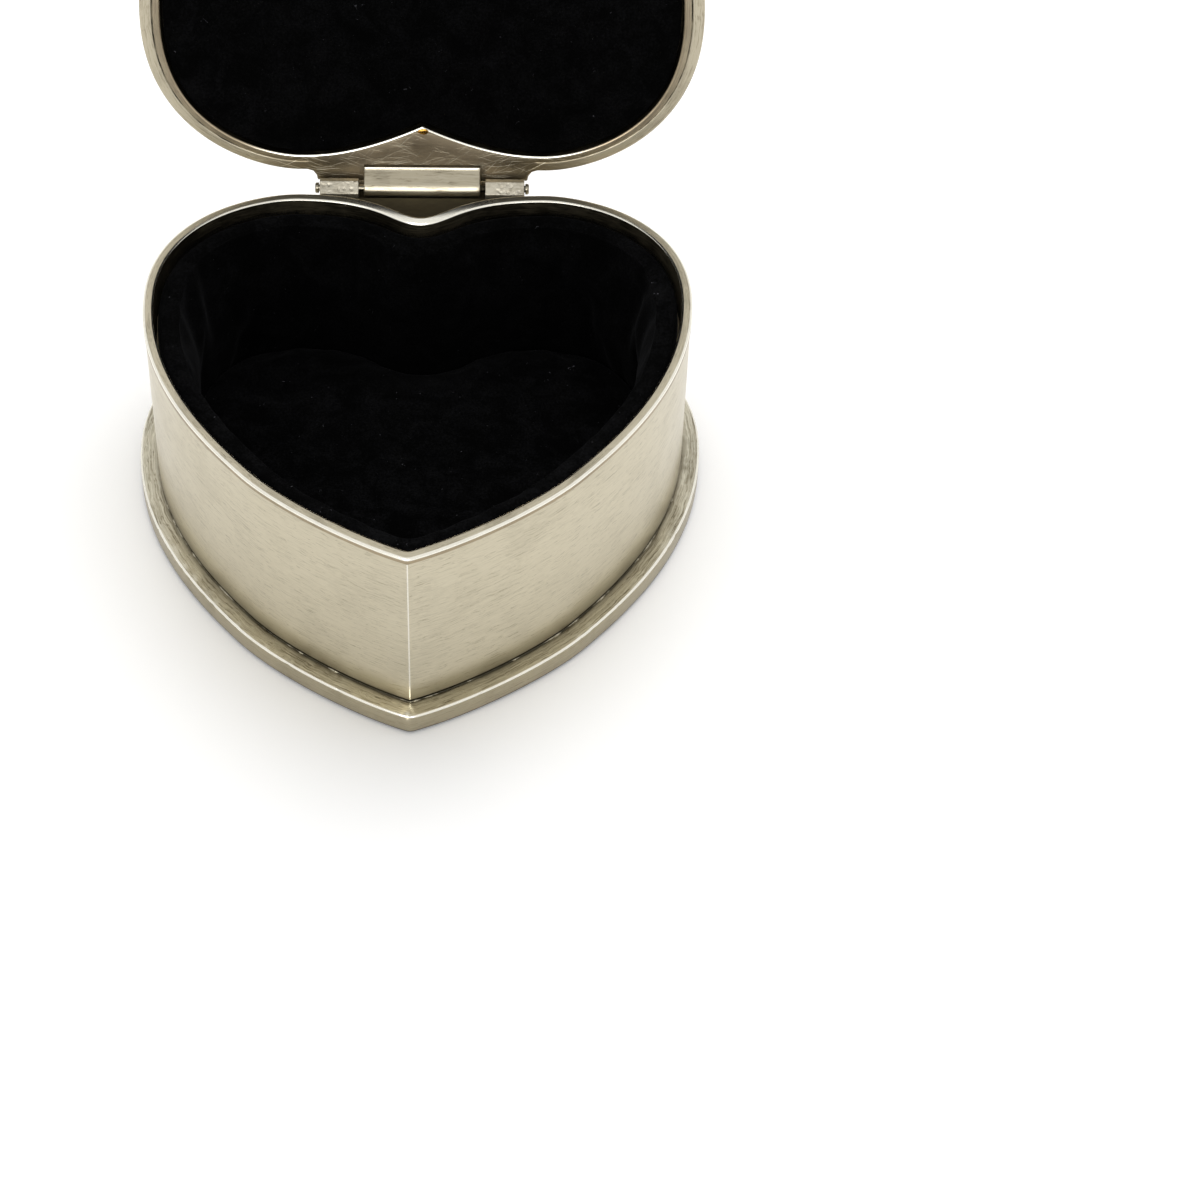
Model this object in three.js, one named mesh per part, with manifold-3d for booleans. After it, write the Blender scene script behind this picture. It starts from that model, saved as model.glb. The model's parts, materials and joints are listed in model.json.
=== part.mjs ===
// Heart-shaped rosary box: a cast metal box with a flanged base plate, a domed lid on a pinned hinge,
// and a padded velvet lining. Millimetres, +Z up. The origin is on the ground under the middle of the
// heart: the tip points to -Y, the hinge is at +Y, and the lid stands open on its stop.
import * as THREE from 'three';
import { mergeVertices } from 'three/addons/utils/BufferGeometryUtils.js';
import Module from 'manifold-3d';

const wasm = await Module();
wasm.setup();

// Clearances
const glueLine = 0.1;
const seatGap = 0.3;
const cutOverrun = 2;

// Rim outline: the outer edge of the box's lip, seen from above
const halfWidth = 38;
const heartLength = 72.5;
const cleftDepth = 5.1;
const backY = heartLength / 2;
const cleftY = backY - cleftDepth;
// Control points of the right half's curves, from the cleft round the lobe to the tip:
// shares of the half width, and of the length from the lobes' backs to the tip
const cleftHandleShare = 0.087;
const lobeShares = [[0.136, 0], [0.461, 0]];
const shoulderShares = [[0.629, 0], [1, 0.068], [1, 0.302]];
const sideShares = [[1, 0.536], [0.736, 0.703], [0.586, 0.793]];
const frontShares = [[0.452, 0.873], [0.169, 0.967], [0, 1]];
// Straight pieces that each curve and the rounded tip are drawn with
const lobeSteps = 8;
const shoulderSteps = 9;
const sideSteps = 8;
const frontSteps = 5;
const tipSteps = 3;
const tipSearchSteps = 40;

// Box wall
const rimHeight = 31;
const lipThickness = 1.5;
const lipOverhang = 0.15;
const lipHeight = 0.9;
const lipRound = 0.3;
const lipTipRadius = 1.6;
const wallTipRadius = 0.4;
const innerTipRadius = 0.6;

// Base plate, whose edge stands out round the wall as a flange
const flangeTop = 3.3;
const flangeReach = 2.6;
const flangeRound = 0.3;
const flangeTipRadius = 1.6;
const footProud = 0.2;
const feltThickness = 1.2;
const feltRecessWall = 4;
const feltRecessTipRadius = 2;

// Lining of the box
const sideCardThickness = 0.8;
const sideCardDrop = 4.6;
const liningDrop = 3;
const liningBulge = 3.6;
const liningFoot = 2.2;
const liningTipRadius = 3;
const floorCardThickness = 1.2;
const floorPadHeight = 4;
const floorPadCrown = 1.4;
const floorPadEdge = 0.8;
const floorPadTipRadius = 5;

// Hinge: its axis lies behind the lobes' backs and below the rim
const axisBehind = 3.4;
const axisDrop = 1.8;
const knuckleRadius = 1.5;
const boreRadius = 0.78;
const pinRadius = 0.7;
const leafHalfWidth = 8.4;
const leafReach = 3.5;
const leafThickness = 0.8;
const lugInner = 9.1;
const lugOuter = 14.8;
const pinHeadRadius = 1.25;
const pinHeadThickness = 0.55;
const pinHeadRound = 0.25;
const bracketHeight = 9;
const bracketHeel = 2.2;
const troughWall = 0.4;
const stopHeight = 1.15;
const roundSteps = 24;
const axisY = backY + axisBehind;
const axisZ = rimHeight - axisDrop;

// Lid
const lidOpening = THREE.MathUtils.degToRad(101);
const lidReach = 1.65;
const lidGap = 0.3;
const lidEdge = 2.2;
const lidEdgeRound = 0.35;
const lidDome = 8.8;
const lidWall = 1.4;
const lidTipRadius = 1.6;
const borderWidth = 2.95;
const recessDepth = 3.2;
const ledgeWidth = 0.9;
const domeShoulder = 8;
const tabHalfWidth = 15.3;
const tabFillet = 1.3;
const tabThickness = 2.2;
const tabOverlap = 0.2;
const tabFilletSteps = 6;
const lidCardThickness = 0.9;
const lidPadThickness = 1.4;
const lidPadEdge = 0.7;
const lidZ = rimHeight + lidGap;
const crownCentreShare = 0.42;
const crownY = backY - crownCentreShare * heartLength;

function shareCurve(start, shares) {
  const places = shares.map(([x, y]) => new THREE.Vector2(x * halfWidth, backY - y * heartLength));
  return new THREE.CubicBezierCurve(start, ...places);
}

const cleftHandle = [new THREE.Vector2(0, cleftY), new THREE.Vector2(cleftHandleShare * halfWidth, cleftY)];
const lobePlaces = lobeShares.map(([x, y]) => new THREE.Vector2(x * halfWidth, backY - y * heartLength));
const lobeCurve = new THREE.CubicBezierCurve(...cleftHandle, ...lobePlaces);
const shoulderCurve = shareCurve(lobeCurve.v3, shoulderShares);
const sideCurve = shareCurve(shoulderCurve.v3, sideShares);
const frontCurve = shareCurve(sideCurve.v3, frontShares);
const roundCurves = [[lobeCurve, lobeSteps], [shoulderCurve, shoulderSteps], [sideCurve, sideSteps]];

// A point on a curve, moved out square to it
function outFrom(curve, share, offset) {
  const tangent = curve.getTangent(share);
  return curve.getPoint(share).add(new THREE.Vector2(-tangent.y, tangent.x).multiplyScalar(offset));
}

// The front curve, which runs on straight past the tip
function outFromFront(share, offset) {
  const inside = Math.min(share, 1);
  const beyond = frontCurve.getTangent(inside).multiplyScalar((share - inside) * halfWidth);
  return outFrom(frontCurve, inside, offset).add(beyond);
}

// Heart outline, anticlockwise from the tip, at a distance outside the rim outline.
// The round at the tip has its centre where the front curve, moved in by the radius, meets the middle.
function heart(offset, tipRadius) {
  const half = [new THREE.Vector2(0, cleftY + offset)];
  for (const [curve, steps] of roundCurves) {
    for (let step = 1; step <= steps; step += 1) {
      half.push(outFrom(curve, step / steps, offset));
    }
  }
  let before = 0;
  let after = 2;
  for (let step = 0; step < tipSearchSteps; step += 1) {
    const share = (before + after) / 2;
    if (outFromFront(share, offset - tipRadius).x > 0) {
      before = share;
    } else {
      after = share;
    }
  }
  for (let step = 1; step <= frontSteps; step += 1) {
    half.push(outFromFront(before * step / frontSteps, offset));
  }
  const centre = outFromFront(before, offset - tipRadius);
  const start = half.at(-1).clone().sub(centre).angle();
  const end = 3 * Math.PI / 2;
  for (let step = 1; step < tipSteps; step += 1) {
    const angle = start + (end - start) * step / tipSteps;
    half.push(new THREE.Vector2(Math.cos(angle), Math.sin(angle)).multiplyScalar(tipRadius).add(centre));
  }
  const tip = new THREE.Vector2(0, centre.y - tipRadius);
  const right = half.slice(1).reverse();
  const left = half.slice(1).map((place) => new THREE.Vector2(-place.x, place.y));
  return [tip, ...right, half[0], ...left];
}

function ring(offset, z, tipRadius) {
  return heart(offset, tipRadius).map((place) => new THREE.Vector3(place.x, place.y, z));
}

// A ring drawn together about the middle of the heart, for the crown of a dome or pad
function drawnIn(base, share, z) {
  return base.map((place) => new THREE.Vector3(place.x * share, crownY + (place.y - crownY) * share, z));
}

// A skin over a row of rings: capped at both ends, or looped back to the first ring
function loft(rings, looped = false) {
  const count = rings[0].length;
  const joins = looped ? rings.length : rings.length - 1;
  const index = [];
  for (let row = 0; row < joins; row += 1) {
    const lower = row * count;
    const upper = ((row + 1) % rings.length) * count;
    for (let step = 0; step < count; step += 1) {
      const next = (step + 1) % count;
      index.push(lower + step, lower + next, upper + next, lower + step, upper + next, upper + step);
    }
  }
  if (!looped) {
    const top = (rings.length - 1) * count;
    for (const [a, b, c] of THREE.ShapeUtils.triangulateShape(rings[0], [])) {
      index.push(c, b, a);
    }
    for (const [a, b, c] of THREE.ShapeUtils.triangulateShape(rings.at(-1), [])) {
      index.push(top + a, top + b, top + c);
    }
  }
  const geometry = new THREE.BufferGeometry();
  const positions = rings.flat().flatMap((place) => [place.x, place.y, place.z]);
  geometry.setAttribute('position', new THREE.Float32BufferAttribute(positions, 3));
  geometry.setIndex(index);
  geometry.computeVertexNormals();
  return geometry;
}

// Solids that are cut or joined
function solid(geometry) {
  const bare = geometry.clone();
  bare.deleteAttribute('normal');
  bare.deleteAttribute('uv');
  const merged = mergeVertices(bare);
  const vertProperties = merged.attributes.position.array;
  const triVerts = Uint32Array.from(merged.index.array);
  return new wasm.Manifold(new wasm.Mesh({ numProp: 3, vertProperties, triVerts }));
}

function surface(manifold) {
  const { vertProperties, triVerts } = manifold.getMesh();
  const geometry = new THREE.BufferGeometry();
  geometry.setAttribute('position', new THREE.BufferAttribute(new Float32Array(vertProperties), 3));
  geometry.setIndex(new THREE.BufferAttribute(new Uint32Array(triVerts), 1));
  geometry.computeVertexNormals();
  return geometry;
}

function block(low, high) {
  const size = new THREE.Vector3().subVectors(high, low);
  const middle = new THREE.Vector3().addVectors(low, high).multiplyScalar(1 / 2);
  return solid(new THREE.BoxGeometry(size.x, size.y, size.z).translate(middle.x, middle.y, middle.z));
}

// A round bar along the hinge axis
function hingeBar(radius, fromX, toX) {
  const bar = new THREE.CylinderGeometry(radius, radius, toX - fromX, roundSteps).rotateZ(Math.PI / 2);
  return solid(bar.translate((fromX + toX) / 2, axisY, axisZ));
}

function finish(color, roughness, metalness) {
  return new THREE.MeshStandardMaterial({ color, roughness, metalness });
}

function pewter() {
  return finish('#b3ac9c', 0.36, 1);
}

function velvet() {
  return finish('#08080c', 1, 0);
}

function card() {
  return finish('#8d8168', 0.9, 0);
}

function add(group, name, geometry, material) {
  const mesh = new THREE.Mesh(geometry, material);
  mesh.name = name;
  group.add(mesh);
}

// Side wall: one closed band with a rounded lip at the top
function wallShell() {
  const face = -lipOverhang;
  const inside = -lipThickness;
  const lipBottom = rimHeight - lipHeight;
  return loft([
    ring(face, flangeTop, wallTipRadius),
    ring(face, lipBottom - lipOverhang, wallTipRadius),
    ring(0, lipBottom, lipTipRadius),
    ring(0, rimHeight - lipRound, lipTipRadius),
    ring(-lipRound, rimHeight, lipTipRadius),
    ring(inside + lipOverhang, rimHeight, innerTipRadius),
    ring(inside, rimHeight - lipOverhang, innerTipRadius),
    ring(inside, flangeTop, innerTipRadius),
  ], true);
}

const flangeOffset = flangeReach - lipOverhang;
const recessOffset = flangeOffset - feltRecessWall;

// Base plate: recessed underneath for its felt
function basePlate() {
  const recessTop = feltThickness + glueLine;
  return loft([
    ring(recessOffset, recessTop, feltRecessTipRadius),
    ring(recessOffset, footProud, feltRecessTipRadius),
    ring(flangeOffset - flangeRound, footProud, flangeTipRadius),
    ring(flangeOffset, footProud + flangeRound, flangeTipRadius),
    ring(flangeOffset, flangeTop - flangeRound, flangeTipRadius),
    ring(flangeOffset - flangeRound, flangeTop, flangeTipRadius),
  ]);
}

function baseFelt() {
  const edge = recessOffset - seatGap;
  return loft([ring(edge, 0, feltRecessTipRadius), ring(edge, feltThickness, feltRecessTipRadius)]);
}

const cardFace = -lipThickness - glueLine;
const cardBack = cardFace - sideCardThickness;
const liningBottom = flangeTop + glueLine;
const liningTop = rimHeight - liningDrop;
const cardTop = rimHeight - sideCardDrop;

// Card strip that stands against the wall and holds the padded velvet
function sideCard() {
  return loft([
    ring(cardFace, liningBottom, innerTipRadius),
    ring(cardFace, cardTop, innerTipRadius),
    ring(cardBack, cardTop, innerTipRadius),
    ring(cardBack, liningBottom, innerTipRadius),
  ], true);
}

// Padded velvet strip: hooked over the card's top edge, fullest above its middle, drawn in at its foot
function sideLining() {
  const back = cardBack - glueLine;
  const height = liningTop - liningBottom;
  const hookShares = [[0, 0], [0.12, 0.6], [0.45, 1]];
  const bulgeShares = [[0.92, 0.9], [1, 0.72], [0.9, 0.5], [0.7, 0.3], [0.62, 0.12]];
  const rings = [
    ring(back, liningBottom, liningTipRadius),
    ring(back, cardTop + seatGap, liningTipRadius),
    ring(cardFace - seatGap, cardTop + 2 * seatGap, innerTipRadius),
  ];
  for (const [depthShare, heightShare] of hookShares) {
    const offset = cardFace - seatGap - depthShare * liningBulge;
    const z = cardTop + 3 * seatGap + heightShare * (liningTop - cardTop - 3 * seatGap);
    rings.push(ring(offset, z, innerTipRadius + depthShare * liningTipRadius));
  }
  for (const [depthShare, heightShare] of bulgeShares) {
    rings.push(ring(back - depthShare * liningBulge, liningBottom + heightShare * height, liningTipRadius));
  }
  rings.push(ring(back - liningFoot, liningBottom, liningTipRadius));
  return loft(rings, true);
}

const floorEdge = cardBack - liningFoot - 3 * seatGap;
const floorCardTop = liningBottom + floorCardThickness;

function floorCard() {
  const edge = floorEdge - seatGap;
  return loft([ring(edge, liningBottom, liningTipRadius), ring(edge, floorCardTop, liningTipRadius)]);
}

// Velvet floor pad: sides drawn in under a rounded edge, and a low crown
function floorPad() {
  const bottom = floorCardTop + glueLine;
  const shoulder = bottom + floorPadHeight - floorPadCrown;
  const rim = ring(floorEdge - 3 * floorPadEdge, shoulder + floorPadEdge / 2, floorPadTipRadius);
  const rounded = floorPadEdge / 2;
  const crownShares = [[0.8, 0.55], [0.55, 0.85], [0.25, 1]];
  const rings = [
    ring(floorEdge - floorPadEdge, bottom, floorPadTipRadius),
    ring(floorEdge - rounded, bottom + rounded, floorPadTipRadius),
    ring(floorEdge - rounded, shoulder - floorPadEdge, floorPadTipRadius),
    ring(floorEdge - 2 * rounded, shoulder - rounded / 2, floorPadTipRadius),
    rim,
  ];
  const crownStart = shoulder + floorPadEdge / 2;
  for (const [share, rise] of crownShares) {
    rings.push(drawnIn(rim, share, crownStart + rise * (floorPadCrown - floorPadEdge / 2)));
  }
  return loft(rings);
}

// Bracket behind the cleft: a recessed bridge, a trough for the knuckles, and a heel that stops the lid
function hingeBracket() {
  const bridgeTop = axisZ + knuckleRadius - leafThickness - seatGap;
  const troughReach = knuckleRadius + troughWall;
  const troughZ = axisZ - troughReach;
  const heelTop = axisZ - stopHeight;
  const heelY = axisY + troughReach + bracketHeel;
  const frontY = cleftY - cutOverrun;
  const bottomZ = heelTop - bracketHeight;
  const section = new THREE.Shape([
    new THREE.Vector2(frontY, bottomZ),
    new THREE.Vector2(backY, bottomZ),
    new THREE.Vector2(heelY, troughZ - bracketHeel),
    new THREE.Vector2(heelY, heelTop),
    new THREE.Vector2(axisY + troughReach, heelTop),
    new THREE.Vector2(axisY + troughReach, troughZ),
    new THREE.Vector2(axisY - troughReach, troughZ),
    new THREE.Vector2(axisY - troughReach, bridgeTop),
    new THREE.Vector2(frontY, bridgeTop),
  ]);
  const along = new THREE.Matrix4().makeBasis(
    new THREE.Vector3(0, 1, 0),
    new THREE.Vector3(0, 0, 1),
    new THREE.Vector3(1, 0, 0),
  );
  const bar = new THREE.ExtrudeGeometry(section, { depth: 2 * lugOuter, bevelEnabled: false });
  bar.applyMatrix4(along).translate(-lugOuter, 0, 0);
  const clear = seatGap - lipOverhang;
  const boxSpace = loft([ring(clear, 0, wallTipRadius), ring(clear, rimHeight + cutOverrun, wallTipRadius)]);
  let bracket = solid(bar).subtract(solid(boxSpace));
  for (const side of [-1, 1]) {
    const fromX = Math.min(side * lugInner, side * lugOuter);
    const toX = Math.max(side * lugInner, side * lugOuter);
    const neckLow = new THREE.Vector3(fromX, axisY - knuckleRadius, troughZ - troughWall);
    const neckHigh = new THREE.Vector3(toX, axisY + knuckleRadius, axisZ);
    bracket = bracket.add(hingeBar(knuckleRadius, fromX, toX)).add(block(neckLow, neckHigh));
  }
  return surface(bracket.subtract(hingeBar(boreRadius, -lugOuter - cutOverrun, lugOuter + cutOverrun)));
}

// Pin with a rounded head at each end
function hingePin() {
  const headStart = lugOuter + glueLine;
  const headEnd = headStart + pinHeadThickness;
  const upper = [
    [pinRadius, headStart],
    [pinHeadRadius, headStart],
    [pinHeadRadius, headEnd - pinHeadRound],
    [pinHeadRadius - pinHeadRound, headEnd],
    [0, headEnd],
  ];
  const lower = upper.map(([radius, along]) => [radius, -along]).reverse();
  const profile = [...lower, ...upper].map(([radius, along]) => new THREE.Vector2(radius, along));
  return new THREE.LatheGeometry(profile, roundSteps).rotateZ(Math.PI / 2).translate(0, axisY, axisZ);
}

// Leaf with the middle knuckle, fixed to the lid's web
function hingeLeaf() {
  const leafTop = lidZ - seatGap;
  const low = new THREE.Vector3(-leafHalfWidth, axisY - leafReach, leafTop - leafThickness);
  const high = new THREE.Vector3(leafHalfWidth, axisY, leafTop);
  const knuckle = hingeBar(knuckleRadius, -leafHalfWidth, leafHalfWidth);
  const bore = hingeBar(boreRadius, -leafHalfWidth - cutOverrun, leafHalfWidth + cutOverrun);
  return surface(block(low, high).add(knuckle).subtract(bore));
}

const recessEdge = lidReach - borderWidth;

// Lid: border and recess below, low dome above, and a web that fills the cleft as far as the hinge
function lidShell() {
  const ledge = lidZ + recessDepth;
  const shoulderShares = [[0.05, 0.15], [0.22, 0.35], [0.5, 0.54], [1, 0.71]];
  const crownShares = [[0.72, 0.9], [0.42, 0.98], [0.15, 1]];
  const rise = lidDome - lidEdge;
  const inner = shoulderShares.slice(2).map(([inShare, upShare]) => {
    const offset = recessEdge - ledgeWidth - (inShare - shoulderShares[2][0]) * domeShoulder;
    return ring(offset, lidZ + lidEdge + upShare * rise - lidWall, lidTipRadius);
  });
  const innerCrown = crownShares.map(([share, upShare]) => (
    drawnIn(inner.at(-1), share, lidZ + lidEdge + upShare * rise - lidWall)
  ));
  const outer = shoulderShares.map(([inShare, upShare]) => (
    ring(lidReach - inShare * domeShoulder, lidZ + lidEdge + upShare * rise, lidTipRadius)
  ));
  const outerCrown = crownShares.map(([share, upShare]) => (
    drawnIn(outer.at(-1), share, lidZ + lidEdge + upShare * rise)
  ));
  const shell = loft([
    ...innerCrown.reverse(),
    ...inner.reverse(),
    ring(recessEdge - ledgeWidth, ledge, lidTipRadius),
    ring(recessEdge, ledge, lidTipRadius),
    ring(recessEdge, lidZ, lidTipRadius),
    ring(lidReach - lidEdgeRound, lidZ, lidTipRadius),
    ring(lidReach, lidZ + lidEdgeRound, lidTipRadius),
    ring(lidReach, lidZ + lidEdge, lidTipRadius),
    ...outer,
    ...outerCrown,
  ]);
  return surface(solid(shell).add(lidTab()));
}

function lidTab() {
  const lobeY = backY + lidReach;
  const startY = cleftY + recessEdge;
  const edge = [];
  for (let step = 0; step <= tabFilletSteps; step += 1) {
    const angle = (1 + step / tabFilletSteps / 2) * Math.PI;
    const x = tabHalfWidth + tabFillet + tabFillet * Math.cos(angle);
    edge.push(new THREE.Vector2(x, lobeY + tabFillet + tabFillet * Math.sin(angle)));
  }
  const right = [
    new THREE.Vector2(tabHalfWidth + tabFillet, startY),
    new THREE.Vector2(tabHalfWidth + tabFillet, lobeY),
    ...edge.reverse().slice(1),
    new THREE.Vector2(tabHalfWidth, axisY),
  ];
  const left = right.map((place) => new THREE.Vector2(-place.x, place.y)).reverse();
  const plate = new THREE.ExtrudeGeometry(new THREE.Shape([...right, ...left]), {
    depth: tabThickness,
    bevelEnabled: false,
  });
  const clear = recessEdge + tabOverlap;
  const recess = loft([
    ring(clear, lidZ - cutOverrun, lidTipRadius),
    ring(clear, lidZ + tabThickness + cutOverrun, lidTipRadius),
  ]);
  return solid(plate.translate(0, 0, lidZ)).subtract(solid(recess));
}

const lidInsertEdge = recessEdge - seatGap;

function lidCard() {
  const top = lidZ + recessDepth - seatGap;
  return loft([
    ring(lidInsertEdge, top - lidCardThickness, lidTipRadius),
    ring(lidInsertEdge, top, lidTipRadius),
  ]);
}

// Velvet panel of the lid: crowned towards the box, with its edge drawn back
function lidPad() {
  const back = lidZ + recessDepth - seatGap - lidCardThickness - glueLine;
  const front = back - lidPadThickness;
  const crown = front + lidPadEdge / 4;
  const rim = ring(lidInsertEdge - 2 * lidPadEdge, front + lidPadEdge / 2, floorPadTipRadius);
  return loft([
    drawnIn(rim, 0.3, front),
    drawnIn(rim, 0.7, crown),
    rim,
    ring(lidInsertEdge - lidPadEdge / 2, front + lidPadEdge, lidTipRadius),
    ring(lidInsertEdge, back - lidPadEdge / 2, lidTipRadius),
    ring(lidInsertEdge, back, lidTipRadius),
  ]);
}

const box = new THREE.Group();
add(box, 'wall_shell', wallShell(), pewter());
add(box, 'base_plate', basePlate(), pewter());
add(box, 'base_felt', baseFelt(), finish('#15151a', 1, 0));
add(box, 'side_card', sideCard(), card());
add(box, 'side_lining', sideLining(), velvet());
add(box, 'floor_card', floorCard(), card());
add(box, 'floor_pad', floorPad(), velvet());
add(box, 'hinge_bracket', hingeBracket(), pewter());
add(box, 'hinge_pin', hingePin(), finish('#cfc8b8', 0.3, 1));

// The lid's pieces are drawn closed, in a group that turns about the hinge axis
const lid = new THREE.Group();
const closedLid = new THREE.Group();
closedLid.position.set(0, -axisY, -axisZ);
add(closedLid, 'lid_shell', lidShell(), pewter());
add(closedLid, 'hinge_leaf', hingeLeaf(), pewter());
add(closedLid, 'lid_card', lidCard(), card());
add(closedLid, 'lid_pad', lidPad(), velvet());
lid.add(closedLid);
lid.position.set(0, axisY, axisZ);
lid.rotation.x = -lidOpening;

const rosaryBox = new THREE.Group();
rosaryBox.add(box, lid);

export default rosaryBox;
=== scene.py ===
"""Heart-shaped keepsake box in brushed pewter with a black velvet lining.

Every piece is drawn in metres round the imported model. The lid's pieces are drawn shut, and their
objects are turned open about the hinge pin.
"""

import json
import math

import bmesh
import bpy
import numpy as np
from bpy.props import FloatProperty, FloatVectorProperty, IntProperty, PointerProperty
from mathutils import Matrix, Vector, noise


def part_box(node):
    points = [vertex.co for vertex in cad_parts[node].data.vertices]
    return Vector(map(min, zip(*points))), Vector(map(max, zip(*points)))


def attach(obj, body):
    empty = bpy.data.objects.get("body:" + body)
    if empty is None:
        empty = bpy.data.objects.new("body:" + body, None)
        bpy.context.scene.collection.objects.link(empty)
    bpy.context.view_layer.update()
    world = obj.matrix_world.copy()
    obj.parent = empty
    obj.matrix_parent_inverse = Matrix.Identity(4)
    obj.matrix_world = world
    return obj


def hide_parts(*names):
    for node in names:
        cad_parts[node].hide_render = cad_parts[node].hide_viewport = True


bl_info = {
    "name": "Heart keepsake box",
    "version": (1, 0, 0),
    "blender": (4, 5, 0),
    "location": "View3D > Sidebar > Keepsake Box",
    "description": "Builds a heart-shaped pewter box with a hinged lid and a velvet lining",
    "category": "Add Mesh",
}

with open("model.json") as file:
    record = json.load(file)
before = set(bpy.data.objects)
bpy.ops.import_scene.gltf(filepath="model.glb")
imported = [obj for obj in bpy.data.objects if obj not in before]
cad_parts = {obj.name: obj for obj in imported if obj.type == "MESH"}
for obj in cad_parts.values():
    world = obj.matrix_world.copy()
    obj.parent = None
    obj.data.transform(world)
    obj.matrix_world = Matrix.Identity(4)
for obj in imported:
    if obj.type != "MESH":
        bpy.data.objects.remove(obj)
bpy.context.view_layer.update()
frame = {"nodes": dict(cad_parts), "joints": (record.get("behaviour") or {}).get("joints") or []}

MM = 0.001
hinge = frame["joints"][0]
hinge_point = Vector(hinge["pos_m"])
lid_opening = math.radians(hinge["range_deg"][1])


def lid_turn(angle):
    """The turn that shuts the lid by an angle, about the hinge pin."""
    return Matrix.Translation(hinge_point) @ Matrix.Rotation(angle, 4, "X") @ Matrix.Translation(-hinge_point)


def shut_box(node):
    """Lowest and highest corner of a lid node with the lid shut."""
    shut = lid_turn(lid_opening)
    places = np.array([shut @ corner.co for corner in frame["nodes"][node].data.vertices])
    return Vector(places.min(0)), Vector(places.max(0))


wall_low, wall_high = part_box("wall_shell")
plate_low, plate_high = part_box("base_plate")
felt_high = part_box("base_felt")[1]
lining_low, lining_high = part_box("side_lining")
side_card_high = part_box("side_card")[1]
pad_low, pad_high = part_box("floor_pad")
bracket_low, bracket_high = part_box("hinge_bracket")
pin_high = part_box("hinge_pin")[1]
shell_low, shell_high = shut_box("lid_shell")
leaf_low, leaf_high = shut_box("hinge_leaf")
lid_pad_high = shut_box("lid_pad")[1]

# Control points of the heart's right half, from the cleft round the lobe to the tip: shares of the
# half width, and of the length from the lobes' backs to the tip
cleft_handle_share = 0.087
lobe_shares = [(0.136, 0), (0.461, 0)]
shoulder_shares = [(0.629, 0), (1, 0.068), (1, 0.302)]
side_shares = [(1, 0.536), (0.736, 0.703), (0.586, 0.793)]
front_shares = [(0.452, 0.873), (0.169, 0.967), (0, 1)]
# The dome's side, in from the lid's edge and up, then the power that its crown falls away with
dome_side_shares = [(0, 0), (0, 0.35), (0.45, 0.585), (1, 0.71)]
crown_power = 3.1
crown_centre_share = 0.42
# How far the crown's rings are drawn together, and where on the dome's side the skin inside it starts
crown_shares = (0.94, 0.85, 0.74, 0.62, 0.5, 0.38, 0.27, 0.17, 0.08)
inner_side_from = 5
# Steps that the tip's corner is drawn and looked for with, that a curve's length is measured with, and
# that a bar's rounded end, the rounding of the lid's recess, that of its edge and the dome's side are
# drawn with
tip_steps = 9
tip_search_steps = 40
curve_samples = 33
end_steps = 4
recess_round_steps = 5
edge_round_steps = 6
dome_side_steps = 12
# Edges sharper than this many degrees stay sharp: most metal's, the lid's, and none at all
metal_crease = 40
lid_crease = 50
no_crease = 180
# The lid's finishes, from inside its crown out. A ring's kind is its place in them
lid_finishes = (
    "painted_shade_pewter_inside", "worn_pewter_edge", "streaked_pewter_lid", "scribed_pewter_line",
    "brushed_pewter_lid", "brushed_pewter_dome")


def hex_colour(code):
    """An sRGB hex colour as linear red, green, blue and alpha."""
    parts = [int(code[start:start + 2], 16) / 255 for start in (1, 3, 5)]
    return (*[part / 12.92 if part <= 0.04045 else ((part + 0.055) / 1.055) ** 2.4 for part in parts], 1)


def length(name, description, default):
    return FloatProperty(name=name, description=description, default=default, unit="LENGTH", precision=5)


def angle(name, description, degrees):
    return FloatProperty(name=name, description=description, default=math.radians(degrees), subtype="ANGLE")


def number(name, description, default, unit="NONE"):
    return FloatProperty(name=name, description=description, default=default, unit=unit)


def colour(name, description, code):
    return FloatVectorProperty(
        name=name, description=description, default=hex_colour(code), size=4, subtype="COLOR")


class OutlineSizes(bpy.types.PropertyGroup):
    """The heart seen from above, at the outer edge of the rim."""
    half_width: length("Half width", "From the middle to the widest point of the rim", wall_high.x)
    heart_length: length("Length", "From the lobes' backs to the tip's corner", 2 * wall_high.y)
    cleft_depth: length("Cleft depth", "From the lobes' backs in to the cleft", 5.1 * MM)
    spacing: length("Spacing", "Distance between the points that metal outlines are drawn with", 0.42 * MM)


class WallSizes(bpy.types.PropertyGroup):
    """Side wall and its rim."""
    thickness: length("Rim thickness", "Width of the rim's top", 1.5 * MM)
    overhang: length("Lip overhang", "How far the lip stands out over the wall", 0.15 * MM)
    lip_height: length("Lip height", "Height of the lip's outer edge", 0.9 * MM)
    lip_round: length("Lip round", "Rounding of the lip's outer edge", 0.34 * MM)
    bevel: length("Bevel", "Width of the bevel at the rim's inner edge", 0.28 * MM)
    wall_tip: length("Wall tip radius", "Radius of the wall's front corner", 0.32 * MM)
    # Painted highlight: a pale burnished line down the front corner
    corner_highlight: length("Corner line", "Half width of the burnished line down the front corner", 0.09 * MM)
    lip_tip: length("Lip tip radius", "Radius of the lip's front corner", 1.6 * MM)
    inner_tip: length("Inner tip radius", "Radius of the corner inside the tip", 0.6 * MM)
    wear: length("Wear", "How far the rim's inner edge is worn down over the cleft", 0.54 * MM)
    thinned: length("Thinned", "How much thinner the wall is at the cleft", 0.42 * MM)
    wear_width: length("Wear width", "Half width of the worn stretch", 11.5 * MM)
    undercut: length("Undercut", "Depth and height of the dark line at the wall's foot", 0.34 * MM)
    unevenness: length("Unevenness", "Depth of the waves that hand polishing leaves", 0.035 * MM)


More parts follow.
